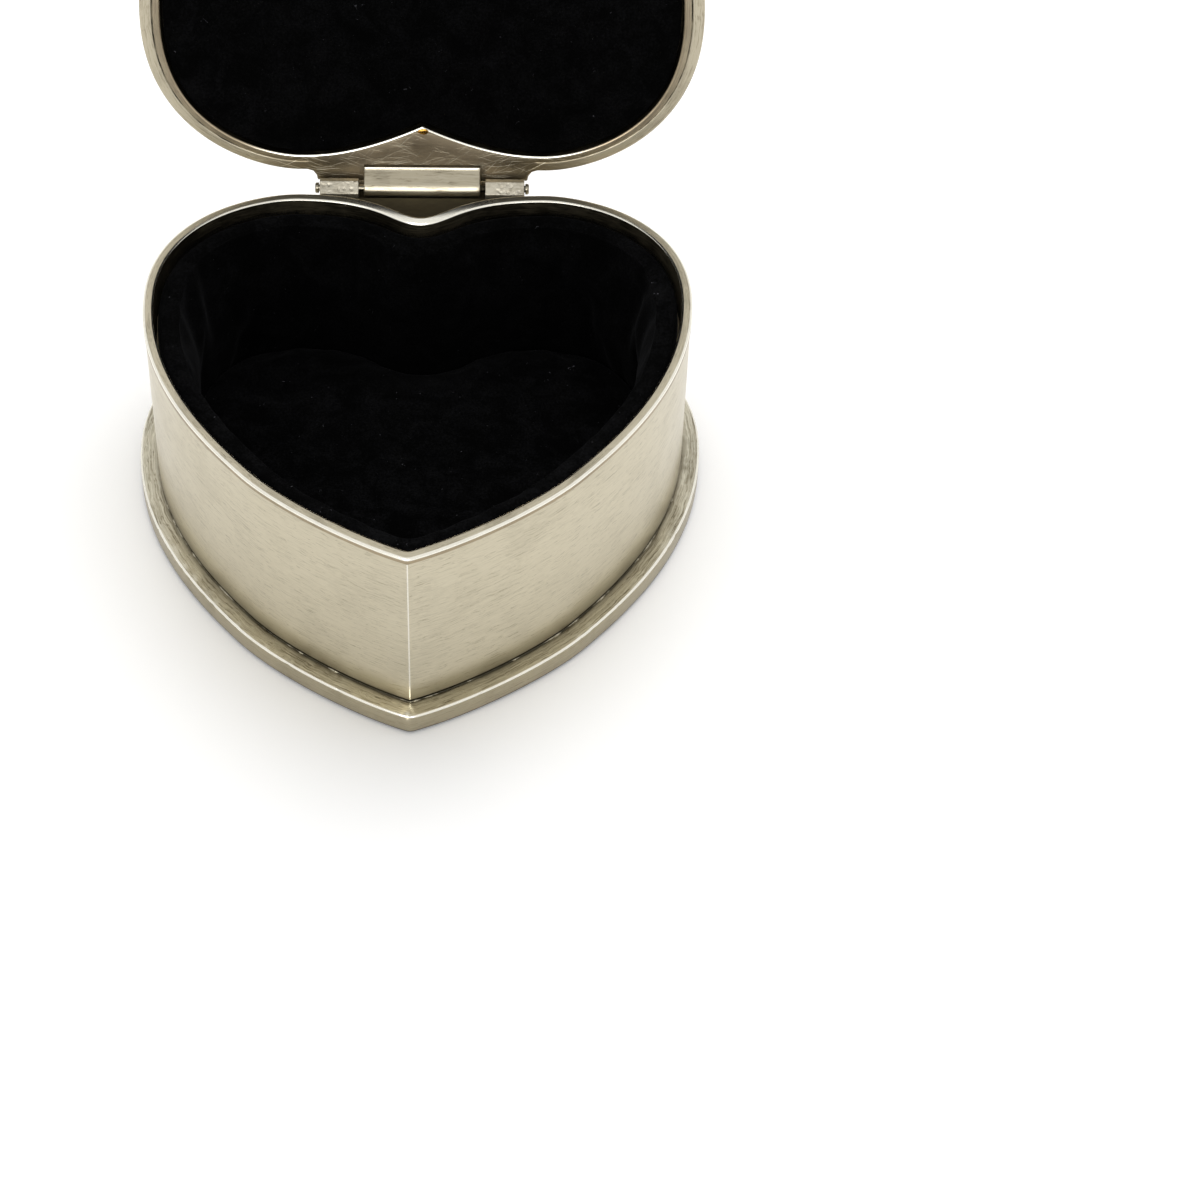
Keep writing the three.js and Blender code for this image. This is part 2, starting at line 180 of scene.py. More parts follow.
class BaseSizes(bpy.types.PropertyGroup):
    """Base plate, whose edge stands out as a flange, its felt and the soldered seam."""
    edge_round: length("Edge round", "Rounding of the flange's edges", 0.3 * MM)
    tip_radius: length("Tip radius", "Radius of the flange's front corner", 1.6 * MM)
    felt_tip: length("Felt tip radius", "Radius of the felt's front corner", 2 * MM)
    felt_round: length("Felt round", "Rounding of the felt's cut edge", 0.25 * MM)
    seam: length("Seam bead", "Radius of the solder left along the wall's foot", 0.22 * MM)
    unevenness: length("Unevenness", "Depth of the waves that hand polishing leaves", 0.05 * MM)
    nick_count: IntProperty(name="Nicks", description="Small dents along the flange's top edge", default=46)
    nick_depth: length("Nick depth", "Depth of the deepest nicks", 0.16 * MM)
    nick_width: length("Nick width", "Half width of a nick", 0.55 * MM)


class LiningSizes(bpy.types.PropertyGroup):
    """Padded velvet of the box and the lid."""
    spacing: length("Cloth spacing", "Distance between the points of the side lining", 0.95 * MM)
    voxel: length("Pad voxel", "Voxel that the pads are remeshed with", 0.85 * MM)
    rise: length("Rise", "How far the side lining's pile stands over its padding", 1.3 * MM)
    side_cap: length("Side swell", "Most that the side lining may move as it swells", 1.1 * MM)
    pad_cap: length("Pad swell", "Most that a pad may move as it swells", 0.9 * MM)
    tip_radius: length("Tip radius", "Radius of the lining's corner inside the tip", 3 * MM)
    pad_tip: length("Pad tip radius", "Radius of the pads' front corner", 5 * MM)
    pile: length("Pile", "Length of the longest fibres at the velvet's edges", 0.7 * MM)
    fibre_gap: length("Fibre gap", "Distance between the fibres at the velvet's edges", 0.14 * MM)


class LidSizes(bpy.types.PropertyGroup):
    """Lid casting, drawn shut."""
    border: length("Border width", "From the lid's edge to its recess, at the sides", 2.95 * MM)
    back_border: length("Back border width", "The same at the backs of the lobes", 2.4 * MM)
    groove_in: length("Groove place", "From the lid's edge to the scribed line", 1.8 * MM)
    groove_depth: length("Groove depth", "Depth of the scribed line", 0.12 * MM)
    groove_width: length("Groove width", "Width of the scribed line", 0.22 * MM)
    edge: length("Edge height", "Height of the lid's upright edge", 2.2 * MM)
    edge_round: length("Edge round", "Rounding of the lid's edge", 0.35 * MM)
    inner_round: length("Inner round", "Rounding of the border's inner edge", 0.28 * MM)
    recess: length("Recess depth", "Depth of the recess that holds the panel", 3.2 * MM)
    ledge: length("Ledge", "Width of the ledge that the panel rests on", 0.9 * MM)
    wall: length("Thickness", "Thickness of the dome", 1.4 * MM)
    shoulder: length("Shoulder", "Width of the dome's steeper edge", 8 * MM)
    tip_radius: length("Tip radius", "Radius of the lid's front corner", 1.6 * MM)
    vee_depth: length("Notch depth", "From the lobes' backs in to the point of the panel's notch", 5.4 * MM)
    vee_half_width: length("Notch half width", "Half width of the panel's notch", 15 * MM)
    vee_power: number("Notch power", "How the notch's sides curve", 1.6)
    tab_half_width: length("Tab half width", "Half width of the web at the hinge", 15.3 * MM)
    web_fade_in: length("Web fade start", "From the middle to where the web's polish starts to fade", 17 * MM)
    web_fade_out: length("Web fade end", "From the middle to where only the border's finish is left", 27 * MM)
    tab_fillet: length("Tab fillet", "Radius between the lobes' backs and the web", 1.3 * MM)


class HingeSizes(bpy.types.PropertyGroup):
    """Hinge pieces."""
    leaf_proud: length("Leaf height", "How far the leaf stands out of the lid's web", 0.96 * MM)
    leaf_set_back: length("Leaf set-back", "From the packed leaf's front to the finished one's", 0.75 * MM)
    leaf_round: length("Leaf round", "Rounding of the plate's front edge", 0.16 * MM)
    leaf_slope: angle("Leaf slope", "How much the plate thickens towards the knuckle", 9)
    leaf_join: angle("Leaf join", "Slope at which the plate meets the knuckle", 55)
    leaf_fillet: length("Leaf fillet", "Radius between the plate and the knuckle", 0.5 * MM)
    pin_radius: length("Pin radius", "Radius of the hinge pin", 0.5 * MM)
    head: length("Head thickness", "Thickness of the pin's heads", 0.55 * MM)
    head_share: number("Head share", "Share of the packed head's radius", 0.62)
    lug_inner: length("Lug inner end", "From the middle to the outer knuckles' inner ends", 9.1 * MM)
    trough_wall: length("Trough clearance", "Space round the knuckles", 0.4 * MM)
    trough_front: length("Front clearance", "Space in front of the knuckles", 0.06 * MM)
    heel: length("Heel depth", "Depth of the heel that stops the lid", 2.2 * MM)
    stop: length("Stop drop", "From the hinge's axis down to the heel", 1.15 * MM)
    bridge: length("Bridge drop", "From the hinge's axis down to the bridge in front of it", 0.45 * MM)
    edge_round: length("Edge round", "Rounding of the leaf's and the bracket's edges", 0.22 * MM)
    lug_top: length("Lug top", "From the hinge's axis to the top of the outer knuckles", 1.2 * MM)
    pit: length("Pit depth", "Depth of the casting pits on the outer knuckles", 0.16 * MM)


class FinishColours(bpy.types.PropertyGroup):
    """Colours of the finishes."""
    pewter: colour("Pewter", "Brushed pewter finish in the light", "#ccc4ae")
    foot: colour("Foot", "Side of the flange", "#b0a790")
    pewter_dark: colour("Pewter grain", "Bottom of the brush strokes", "#a89e86")
    # Also darkens the wall's foot and the flange's top along the wall, as patina and painted shade
    patina: colour("Patina", "Grey-brown that gathers in corners and streaks", "#5b5444")
    # Nearly black: dull unpolished metal, with painted shade inside the box, in the seam, under edges and in
    # the hinge's gaps
    inside: colour("Bare inside", "Unpolished metal inside the rim", "#25221b")
    web: colour("Web", "Polished web of the lid", "#a3947b")
    flange: colour("Flange", "Top of the flange", "#d6d1be")
    # Partly wear, partly painted highlight: pale enough for the white lines of light along burnished edges
    cast: colour("Burnished", "Edges that handling has polished", "#f1eee2")
    pin: colour("Pin", "Drawn steel wire", "#9c9686")
    leaf: colour("Leaf", "Hinge leaf", "#b7af9b")
    knuckle: colour("Knuckle", "Casting of the outer knuckles", "#b5afa0")
    shade: colour("Shade", "Inner border of the lid", "#7d7160")
    # Dark: painted shade on the bracket's bridge and trough
    bridge: colour("Bridge", "Bracket behind the cleft", "#4d483a")
    solder: colour("Solder", "Soft solder along the seam", "#a9a390")
    flux: colour("Flux", "Amber speck left by the solder", "#b98a3c")
    velvet: colour("Velvet", "Depth of the black pile", "#030303")
    nap: colour("Nap", "Brushed tips of the pile", "#111112")
    lint: colour("Lint", "Dust caught in the pile", "#77767c")
    felt: colour("Felt", "Pressed black felt", "#17171a")
    board: colour("Board", "Uncoated greyboard", "#8d8168")


class StageSettings(bpy.types.PropertyGroup):
    """Camera, light and floor."""
    elevation: angle("Elevation", "Camera's height over the horizon", 47.1)
    azimuth: angle("Azimuth", "Camera's turn round the box, to the right", 2.2)
    roll: angle("Roll", "Camera's turn about its own line of sight", -1.0)
    distance: length("Distance", "From the camera to the point that it looks at", 0.42)
    aim: length("Aim", "From the box's middle back to the point that the camera looks at", -0.01437)
    lens: number("Lens", "Focal length in millimetres", 90.42)
    shift: number("Shift", "Sideways shift of the view", 0.1511)
    floor: length("Floor", "Width of the floor", 8)
    world: number("World", "Strength of the light from all round", 0.62)
    key: number("Key", "Power of the softbox behind the camera", 4.2, "POWER")
    top: number("Top", "Power of the softbox behind the box", 4.8, "POWER")
    glow: number("Floor glow", "Light that the paper floor adds near the box", 0.12)
    far_glow: number("Far floor glow", "The same away from the box", 0.42)
    glow_from: length("Near floor", "Distance from the box's middle where the glow starts to rise", 0.05)
    glow_to: length("Far floor", "Distance where it is at its most", 0.25)


def sizes(group):
    return getattr(bpy.context.scene, "box_" + group)


# Outlines

def heart_curves():
    """The right half's four cubic curves, from the cleft to the tip."""
    outline = sizes("outline")
    back = outline.heart_length / 2
    cleft = back - outline.cleft_depth

    def places(shares):
        return [(x * outline.half_width, back - y * outline.heart_length) for x, y in shares]

    curves = [[(0, cleft), (cleft_handle_share * outline.half_width, cleft), *places(lobe_shares)]]
    for shares in (shoulder_shares, side_shares, front_shares):
        curves.append([curves[-1][-1], *places(shares)])
    return np.array(curves, float)


def on_curve(curve, shares):
    """Places on a cubic curve."""
    a, b, c, d = curve
    left = 1 - shares
    return left ** 3 * a + 3 * left ** 2 * shares * b + 3 * left * shares ** 2 * c + shares ** 3 * d


def beside(curve, shares, offset):
    """Places at a distance outside a curve, which runs on straight past its end."""
    shares = np.asarray(shares, float)[:, None]
    on = np.minimum(shares, 1)
    a, b, c, d = curve
    slope = (1 - on) ** 2 * (b - a) + 2 * (1 - on) * on * (c - b) + on ** 2 * (d - c)
    slope = slope / np.linalg.norm(slope, axis=1, keepdims=True)
    square = np.stack([-slope[:, 1], slope[:, 0]], axis=1)
    return on_curve(curve, on) + square * offset + slope * (shares - on) * sizes("outline").half_width


def curve_steps(curve, spacing):
    places = beside(curve, np.linspace(0, 1, curve_samples), 0)
    return max(4, round(np.linalg.norm(np.diff(places, axis=0), axis=1).sum() / spacing))


def heart(offset, tip_radius, spacing=None):
    """Heart outline at a distance outside the rim's, anticlockwise from the tip, as rows of x and y."""
    outline = sizes("outline")
    spacing = spacing or outline.spacing
    curves = heart_curves()
    right = [np.array([[0, outline.heart_length / 2 - outline.cleft_depth + offset]])]
    for curve in curves[:3]:
        steps = curve_steps(curve, spacing)
        right.append(beside(curve, np.arange(1, steps + 1) / steps, offset))
    front = curves[3]
    near, far = 0.0, 2.0
    for _ in range(tip_search_steps):
        share = (near + far) / 2
        if beside(front, [share], offset - tip_radius)[0, 0] > 0:
            near = share
        else:
            far = share
    steps = curve_steps(front, spacing)
    right.append(beside(front, near * np.arange(1, steps + 1) / steps, offset))
    centre = beside(front, [near], offset - tip_radius)[0]
    across, up = right[-1][-1] - centre
    start = math.atan2(up, across) % math.tau
    turns = start + (3 * math.pi / 2 - start) * np.arange(1, tip_steps) / tip_steps
    right.append(centre + tip_radius * np.stack([np.cos(turns), np.sin(turns)], axis=1))
    right = np.concatenate(right)
    tip = np.array([[0, centre[1] - tip_radius]])
    return np.concatenate([tip, right[:0:-1], right[:1], right[1:] * (-1, 1)])


def walk_round(outline):
    """Distance walked round a closed outline to each point, and back to the first."""
    steps = np.linalg.norm(np.diff(outline, axis=0, append=outline[:1]), axis=1)
    return np.concatenate([[0], np.cumsum(steps)])


def at_height(outline, z):
    return np.column_stack([outline, np.full(len(outline), z)])


def drawn_in(ring, share, z):
    """A ring drawn together about the middle of the heart."""
    outline = sizes("outline")
    centre = np.array((0, outline.heart_length * (1 / 2 - crown_centre_share)))
    return at_height(centre + (ring[:, :2] - centre) * share, z)


def rounded(corners, looped=False, steps=4):
    """A profile with its corners rounded. A corner is an offset, a height, a radius and a tip radius."""
    line = []
    for place, (offset, height, radius, tip) in enumerate(corners):
        ends = not looped and place in (0, len(corners) - 1)
        if not radius or ends:
            line.append((offset, height, tip))
            continue
        here = Vector((offset, height))
        before = Vector(corners[place - 1][:2]) - here
        after = Vector(corners[(place + 1) % len(corners)][:2]) - here
        reach = radius / math.tan(before.angle(after) / 2)
        start = before.normalized() * min(reach, before.length / 2)
        end = after.normalized() * min(reach, after.length / 2)
        for step in range(steps + 1):
            share = step / steps
            bend = here + start * (1 - share) ** 2 + end * share ** 2
            line.append((bend.x, bend.y, tip))
    return line


def spread(line, spacing):
    """A profile with points added along its long stretches."""
    filled = [line[0]]
    for before, after in zip(line, line[1:]):
        run = math.dist(before[:2], after[:2])
        count = max(1, round(run / spacing))
        for step in range(1, count + 1):
            filled.append(tuple(a + (b - a) * step / count for a, b in zip(before, after)))
    return filled


def rings_of(line, spacing=None):
    return [at_height(heart(offset, tip, spacing), height) for offset, height, tip in line]


# Meshes

def make_piece(name, places, faces, uvs=None, kinds=None, materials=(), crease=metal_crease):
    """A smooth mesh object. Edges sharper than crease, in degrees, stay sharp."""
    mesh = bpy.data.meshes.new(name)
    mesh.from_pydata([tuple(place) for place in places], [], faces)
    if uvs is not None:
        mesh.uv_layers.new(name="UVMap").data.foreach_set("uv", np.asarray(uvs, np.float32).ravel())
    if kinds is not None:
        mesh.polygons.foreach_set("material_index", np.asarray(kinds, np.int32))
    editable = bmesh.new()
    editable.from_mesh(mesh)
    bmesh.ops.recalc_face_normals(editable, faces=editable.faces)
    editable.to_mesh(mesh)
    editable.free()
    mesh.shade_smooth()
    mesh.set_sharp_from_angle(angle=math.radians(crease))
    for material in materials:
        mesh.materials.append(material)
    piece = bpy.data.objects.new(name, mesh)
    bpy.context.scene.collection.objects.link(piece)
    return piece


def loft(name, rings, materials, walk=None, looped=False, fans=(None, None), kinds=None,
         crease=metal_crease):
    """A skin over rings of equal count, looped back to the first ring, or fanned or capped at its ends."""
    count, rows = len(rings[0]), len(rings)
    places = [place for ring in rings for place in ring]
    walk = walk_round(rings[0]) if walk is None else walk
    climbs = [np.median(np.linalg.norm(rings[(row + 1) % rows] - rings[row], axis=1))
              for row in range(rows)]
    rise = np.concatenate([[0], np.cumsum(climbs)])
    faces, uvs, slots = [], [], []
    for row in range(rows if looped else rows - 1):
        lower, upper = row * count, (row + 1) % rows * count
        for step in range(count):
            after = (step + 1) % count
            faces.append((lower + step, lower + after, upper + after, upper + step))
            low, high = rise[row], rise[row + 1]
            uvs += [(walk[step], low), (walk[step + 1], low), (walk[step + 1], high), (walk[step], high)]
            slots.append(kinds[row] if kinds else 0)
    for end, centre in enumerate(() if looped else fans):
        first = end * (rows - 1) * count
        level = rise[end * (rows - 1)]
        slot = kinds[-end] if kinds else 0
        if centre is None:
            faces.append(tuple(range(first, first + count)))
            uvs += [(walk[step], level) for step in range(count)]
            slots.append(slot)
            continue
        places.append(centre)
        for step in range(count):
            faces.append((first + step, first + (step + 1) % count, len(places) - 1))
            uvs += [(walk[step], level), (walk[step + 1], level), (walk[step], level)]
            slots.append(slot)
    return make_piece(name, places, faces, uvs, slots, materials, crease)


def bar(name, section, from_x, to_x, materials, edge, spacing):
    """A section of y and z, drawn along the hinge from one x to another, with rounded ends."""
    section = np.asarray(section, float)
    turns = np.linspace(0, math.pi / 2, end_steps)
    ends = [(edge * (1 - math.sin(turn)), edge * (1 - math.cos(turn))) for turn in turns]
    count = round((to_x - from_x) / spacing)
    stations = [(from_x + along, inset) for inset, along in ends]
    stations += [(from_x + edge + (to_x - from_x - 2 * edge) * step / count, 0) for step in range(1, count)]
    stations += [(to_x - along, inset) for inset, along in reversed(ends)]
    rings = []
    for x, inset in stations:
        shape = inset_outline(section, inset)
        rings.append(np.column_stack([np.full(len(shape), x), shape]))
    return loft(name, rings, materials)


def inset_outline(outline, inset):
    """A closed outline moved in, each corner along the middle between its sides.

    A corner sharper than 60 degrees moves no further than one of 60 degrees does.
    """
    least_share = 0.5
    before = outline - np.roll(outline, 1, axis=0)
    after = np.roll(outline, -1, axis=0) - outline
    before /= np.linalg.norm(before, axis=1, keepdims=True)
    after /= np.linalg.norm(after, axis=1, keepdims=True)
    inward = np.stack([-(before + after)[:, 1], (before + after)[:, 0]], axis=1)
    inward /= np.linalg.norm(inward, axis=1, keepdims=True)
    across, up = outline.T
    area = (across * np.roll(up, -1) - np.roll(across, -1) * up).sum()
    corner = np.abs((inward * np.stack([-before[:, 1], before[:, 0]], axis=1)).sum(1)).clip(least_share)
    return outline + math.copysign(inset, area) * inward / corner[:, None]


def round_corners(corners, steps=4):
    """A closed outline of rows of two, from corners that each have a radius."""
    line = rounded([(across, up, radius, 0) for across, up, radius in corners], looped=True, steps=steps)
    return [place[:2] for place in line]


def shift_points(piece, move):
    """Moves each vertex by what a function of its place and normal gives."""
    mesh = piece.data
    moved = [vertex.co + move(vertex.co, vertex.normal) for vertex in mesh.vertices]
    for vertex, place in zip(mesh.vertices, moved):
        vertex.co = place
    mesh.update()


def sunk(amount, size, seed):
    """A move that sinks the surface by up to an amount, in soft waves of a size."""
    away = Vector((seed, -seed, seed))

    def move(place, normal):
        return normal * amount * (noise.noise(place / size + away) - 1) / 2

    return move


def sink_nicks(piece, middles, depth, width, seed):
    """Sinks small dents of varied depth at the given places."""
    random = np.random.default_rng(seed)
    dents = [(Vector(middle), depth * random.uniform(0.3, 1), width * random.uniform(0.5, 1.3))
             for middle in middles]

    def move(place, normal):
        total = Vector()
        for middle, deep, wide in dents:
            apart = (place - middle).length / wide
            if apart < 2:
                total -= normal * deep * math.exp(-2 * apart * apart)
        return total

    shift_points(piece, move)


def set_polish(piece, shares):
    """Stores how polished each point of a piece is, for its finishes to read."""
    shares = np.clip(shares, 0, 1).astype(np.float32)
    piece.data.attributes.new("polish", "FLOAT", "POINT").data.foreach_set("value", shares)


# Materials

def add_node(tree, kind, settings=(), inputs=()):
    """Adds a node, with its settings, and with each input set to a value or linked from a socket."""
    made = tree.nodes.new(kind)
    for name, value in dict(settings).items():
        setattr(made, name, value)
    for name, value in dict(inputs).items():
        if isinstance(value, bpy.types.NodeSocket):
            tree.links.new(value, made.inputs[name])
        else:
            made.inputs[name].default_value = value
    return made


def mix_colours(tree, share, low, high):
    settings = {"data_type": "RGBA"}
    return add_node(tree, "ShaderNodeMix", settings, {0: share, 6: low, 7: high}).outputs[2]


def shader(tree, settings):
    return add_node(tree, "ShaderNodeBsdfPrincipled", (), settings).outputs[0]


def finish(name):
    """One of the finishes below as a material, made the first time that it is asked for."""
    if name in bpy.data.materials:
        return bpy.data.materials[name]
    material = bpy.data.materials.new(name)
    material.use_nodes = True
    tree = material.node_tree
    tree.nodes.clear()
    add_node(tree, "ShaderNodeOutputMaterial", (), {"Surface": finishes[name](tree)})
    return material


def brushed(tree, grain=(6.0, 0.16), contrast=0.3, rough=(0.3, 0.4), depth=0.004, by_uv=True, shaded=None,
            stain=0.1, scored=0.0, pits=0.0, light="pewter", dark="pewter_dark"):
    """Satin pewter brushed one way: shallow strokes that waver, stains, and pits if it is cast.

    grain is the strokes' length and width in millimetres, along the walk round the heart or along
    the hinge. depth and pits are in millimetres too. light and dark name colours of the finishes.
    scored is how dark the deepest strokes are. shaded gives where on the profile, in millimetres,
    patina and painted shade start to fade and are gone, and how much of them there is.
    """
    colours = sizes("colours")
    coordinates = add_node(tree, "ShaderNodeTexCoord").outputs
    per_mm = (1 / MM, 1 / MM, 1 / MM)
    along = add_node(tree, "ShaderNodeMapping", (), {
        "Vector": coordinates["UV" if by_uv else "Object"], "Scale": per_mm})
    solid = add_node(tree, "ShaderNodeMapping", (), {"Vector": coordinates["Object"], "Scale": per_mm})
    # Strokes waver by a third of a millimetre over two millimetres
    waver = add_node(tree, "ShaderNodeTexNoise", (), {
        "Vector": along.outputs[0], "Scale": 0.4, "Detail": 2.0})
    drift = add_node(tree, "ShaderNodeVectorMath", {"operation": "MULTIPLY_ADD"}, {
        0: waver.outputs["Color"], 1: (0.0, 0.7, 0.7), 2: along.outputs[0]})
    stretch = add_node(tree, "ShaderNodeMapping", (), {
        "Vector": drift.outputs[0], "Scale": (1 / grain[0], 1 / grain[1], 1 / grain[1])})
    strokes = add_node(tree, "ShaderNodeTexNoise", (), {
        "Vector": stretch.outputs[0], "Scale": 1.0, "Detail": 4.0, "Roughness": 0.6})
    blotches = add_node(tree, "ShaderNodeTexNoise", (), {
        "Vector": solid.outputs[0], "Scale": 0.12, "Detail": 4.0, "Roughness": 0.6})
    tone = add_node(tree, "ShaderNodeMapRange", (), {
        "Value": strokes.outputs[0], "From Min": 0.32, "From Max": 0.66, "To Min": 1 - contrast,
        "To Max": 1.0})
    base = mix_colours(tree, tone.outputs[0], getattr(colours, dark), getattr(colours, light))
    # Grey-brown stains keep to the deeper strokes of some patches
    both = add_node(tree, "ShaderNodeMath", {"operation": "MULTIPLY_ADD"}, {
        0: strokes.outputs[0], 1: 0.6, 2: blotches.outputs[0]})
    stained = add_node(tree, "ShaderNodeMapRange", (), {
        "Value": both.outputs[0], "From Min": 0.84, "From Max": 0.6, "To Min": 0.0, "To Max": stain})
    base = mix_colours(tree, stained.outputs[0], base, colours.patina)
    if scored:
        deepest = add_node(tree, "ShaderNodeMapRange", (), {
            "Value": strokes.outputs[0], "From Min": 0.42, "From Max": 0.33, "To Min": 0.0, "To Max": scored})
        base = mix_colours(tree, deepest.outputs[0], base, colours.patina)
    if shaded:
        # The edge of the patina and painted shade is as uneven as the stains, about their middle value
        near, far, most = shaded
        place = add_node(tree, "ShaderNodeSeparateXYZ", (), {0: drift.outputs[0]})
        uneven = add_node(tree, "ShaderNodeMath", {"operation": "MULTIPLY_ADD"}, {
            0: both.outputs[0], 1: (near - far) / 2, 2: place.outputs[1]})
        middle_stain = 0.8
        shift = middle_stain * (near - far) / 2
        patina_and_painted_shade = add_node(tree, "ShaderNodeMapRange", {"interpolation_type": "SMOOTHSTEP"}, {
            "Value": uneven.outputs[0], "From Min": far + shift, "From Max": near + shift, "To Min": 0.0,
            "To Max": most})
        base = mix_colours(tree, patina_and_painted_shade.outputs[0], base, colours.patina)
    dull = add_node(tree, "ShaderNodeMapRange", (), {
        "Value": both.outputs[0], "From Min": 0.5, "From Max": 1.1, "To Min": rough[1], "To Max": rough[0]})
    bump = add_node(tree, "ShaderNodeBump", (), {
        "Height": strokes.outputs[0], "Strength": 1.0, "Distance": depth * MM})
    if pits:
        grit = add_node(tree, "ShaderNodeTexNoise", (), {
            "Vector": solid.outputs[0], "Scale": 2.2, "Detail": 6.0, "Roughness": 0.7})
        bump = add_node(tree, "ShaderNodeBump", (), {
            "Height": grit.outputs[0], "Strength": 1.0, "Distance": pits * MM, "Normal": bump.outputs[0]})
    return shader(tree, {
        "Base Color": base, "Metallic": 1.0, "Roughness": dull.outputs[0], "Normal": bump.outputs[0]})


def handled_web(tree):
    """Polished pewter that has been handled: brownish, with fine crossed scratches and a dull bloom."""
    colours = sizes("colours")
    coordinates = add_node(tree, "ShaderNodeTexCoord").outputs["Object"]
    # Turned with the lid, so that the scratches lie in the web
    shut = add_node(tree, "ShaderNodeMapping", (), {
        "Vector": coordinates, "Rotation": (lid_opening, 0.0, 0.0)})
    # Darker away from the leaf, where it is wiped less
    across = add_node(tree, "ShaderNodeSeparateXYZ", (), {0: shut.outputs[0]}).outputs[0]
    away = add_node(tree, "ShaderNodeMath", {"operation": "ABSOLUTE"}, {0: across})
    unwiped = add_node(tree, "ShaderNodeMapRange", {"interpolation_type": "SMOOTHSTEP"}, {
        "Value": away.outputs[0], "From Min": 6 * MM, "From Max": 14 * MM, "To Min": 0.0, "To Max": 0.75})
    base = mix_colours(tree, unwiped.outputs[0], colours.web, colours.patina)
    cloud = add_node(tree, "ShaderNodeTexNoise", (), {
        "Vector": shut.outputs[0], "Scale": 0.3 / MM, "Detail": 4.0, "Roughness": 0.6})
    # Scratches about 6 mm long and 0.12 mm wide, which bend a little, each set at an angle and as sparse
    # as the noise that it keeps is high
    scratch_size = (6 * MM, 0.12 * MM, 2 * MM)
    scratch_sets = ((0.06, 0.66), (-0.32, 0.68), (0.36, 0.68), (-0.8, 0.7))
    height = 0.0
    bend = add_node(tree, "ShaderNodeTexNoise", (), {
        "Vector": shut.outputs[0], "Scale": 0.15 / MM, "Detail": 1.0})
    bent = add_node(tree, "ShaderNodeVectorMath", {"operation": "MULTIPLY_ADD"}, {
        0: bend.outputs["Color"], 1: (0.0, 3 * MM, 0.0), 2: shut.outputs[0]})
    for turn, kept in scratch_sets:
        turned = add_node(tree, "ShaderNodeMapping", {"vector_type": "TEXTURE"}, {
            "Vector": bent.outputs[0], "Rotation": (0.0, 0.0, turn), "Scale": scratch_size})
        lines = add_node(tree, "ShaderNodeTexNoise", (), {
            "Vector": turned.outputs[0], "Scale": 1.0, "Detail": 1.0})
        mark = add_node(tree, "ShaderNodeMapRange", (), {
            "Value": lines.outputs[0], "From Min": kept, "From Max": kept + 0.06, "To Min": 0.0,
            "To Max": 0.8})
        base = mix_colours(tree, mark.outputs[0], base, colours.pewter)
        height = add_node(tree, "ShaderNodeMath", {"operation": "ADD"}, {
            0: mark.outputs[0], 1: height}).outputs[0]
    bloom = add_node(tree, "ShaderNodeMapRange", (), {
        "Value": cloud.outputs[0], "From Min": 0.4, "From Max": 0.7, "To Min": 0.0, "To Max": 0.35})
    base = mix_colours(tree, bloom.outputs[0], base, colours.patina)
    dull = add_node(tree, "ShaderNodeMapRange", (), {
        "Value": cloud.outputs[0], "From Min": 0.3, "From Max": 0.7, "To Min": 0.3, "To Max": 0.44})
    bump = add_node(tree, "ShaderNodeBump", (), {"Height": height, "Strength": 1.0, "Distance": -0.01 * MM})
    return shader(tree, {
        "Base Color": base, "Metallic": 1.0, "Roughness": dull.outputs[0], "Normal": bump.outputs[0]})


def polished_towards(tree, plain, polished):
    """One finish that runs into another by the mesh's own share of polish."""
    share = add_node(tree, "ShaderNodeAttribute", {"attribute_name": "polish"}).outputs["Fac"]
    return add_node(tree, "ShaderNodeMixShader", (), {0: share, 1: plain, 2: polished}).outputs[0]


def burnished(tree):
    """Pewter that handling and wiping have polished, painted pale so that edges show a painted highlight."""
    return brushed(tree, contrast=0.2, rough=(0.17, 0.24), stain=0.05, light="cast")


def smooth_metal(tree, tint, low, high, grit, depth):
    """Bare metal with a fine grit in its gloss: tint names its colour, low and high are its roughness,
    and grit and depth are in millimetres.
    """
    colours = sizes("colours")
    coordinates = add_node(tree, "ShaderNodeTexCoord").outputs["Object"]
    spots = add_node(tree, "ShaderNodeTexNoise", (), {
        "Vector": coordinates, "Scale": 1 / (grit * MM), "Detail": 4.0, "Roughness": 0.6})
    tone = add_node(tree, "ShaderNodeMapRange", (), {
        "Value": spots.outputs[0], "From Min": 0.25, "From Max": 0.55})
    base = mix_colours(tree, tone.outputs[0], colours.patina, getattr(colours, tint))
    dull = add_node(tree, "ShaderNodeMapRange", (), {
        "Value": spots.outputs[0], "From Min": 0.3, "From Max": 0.7, "To Min": high, "To Max": low})
    bump = add_node(tree, "ShaderNodeBump", (), {"Height": spots.outputs[0], "Distance": depth * MM})
    return shader(tree, {
        "Base Color": base, "Metallic": 1.0, "Roughness": dull.outputs[0], "Normal": bump.outputs[0]})


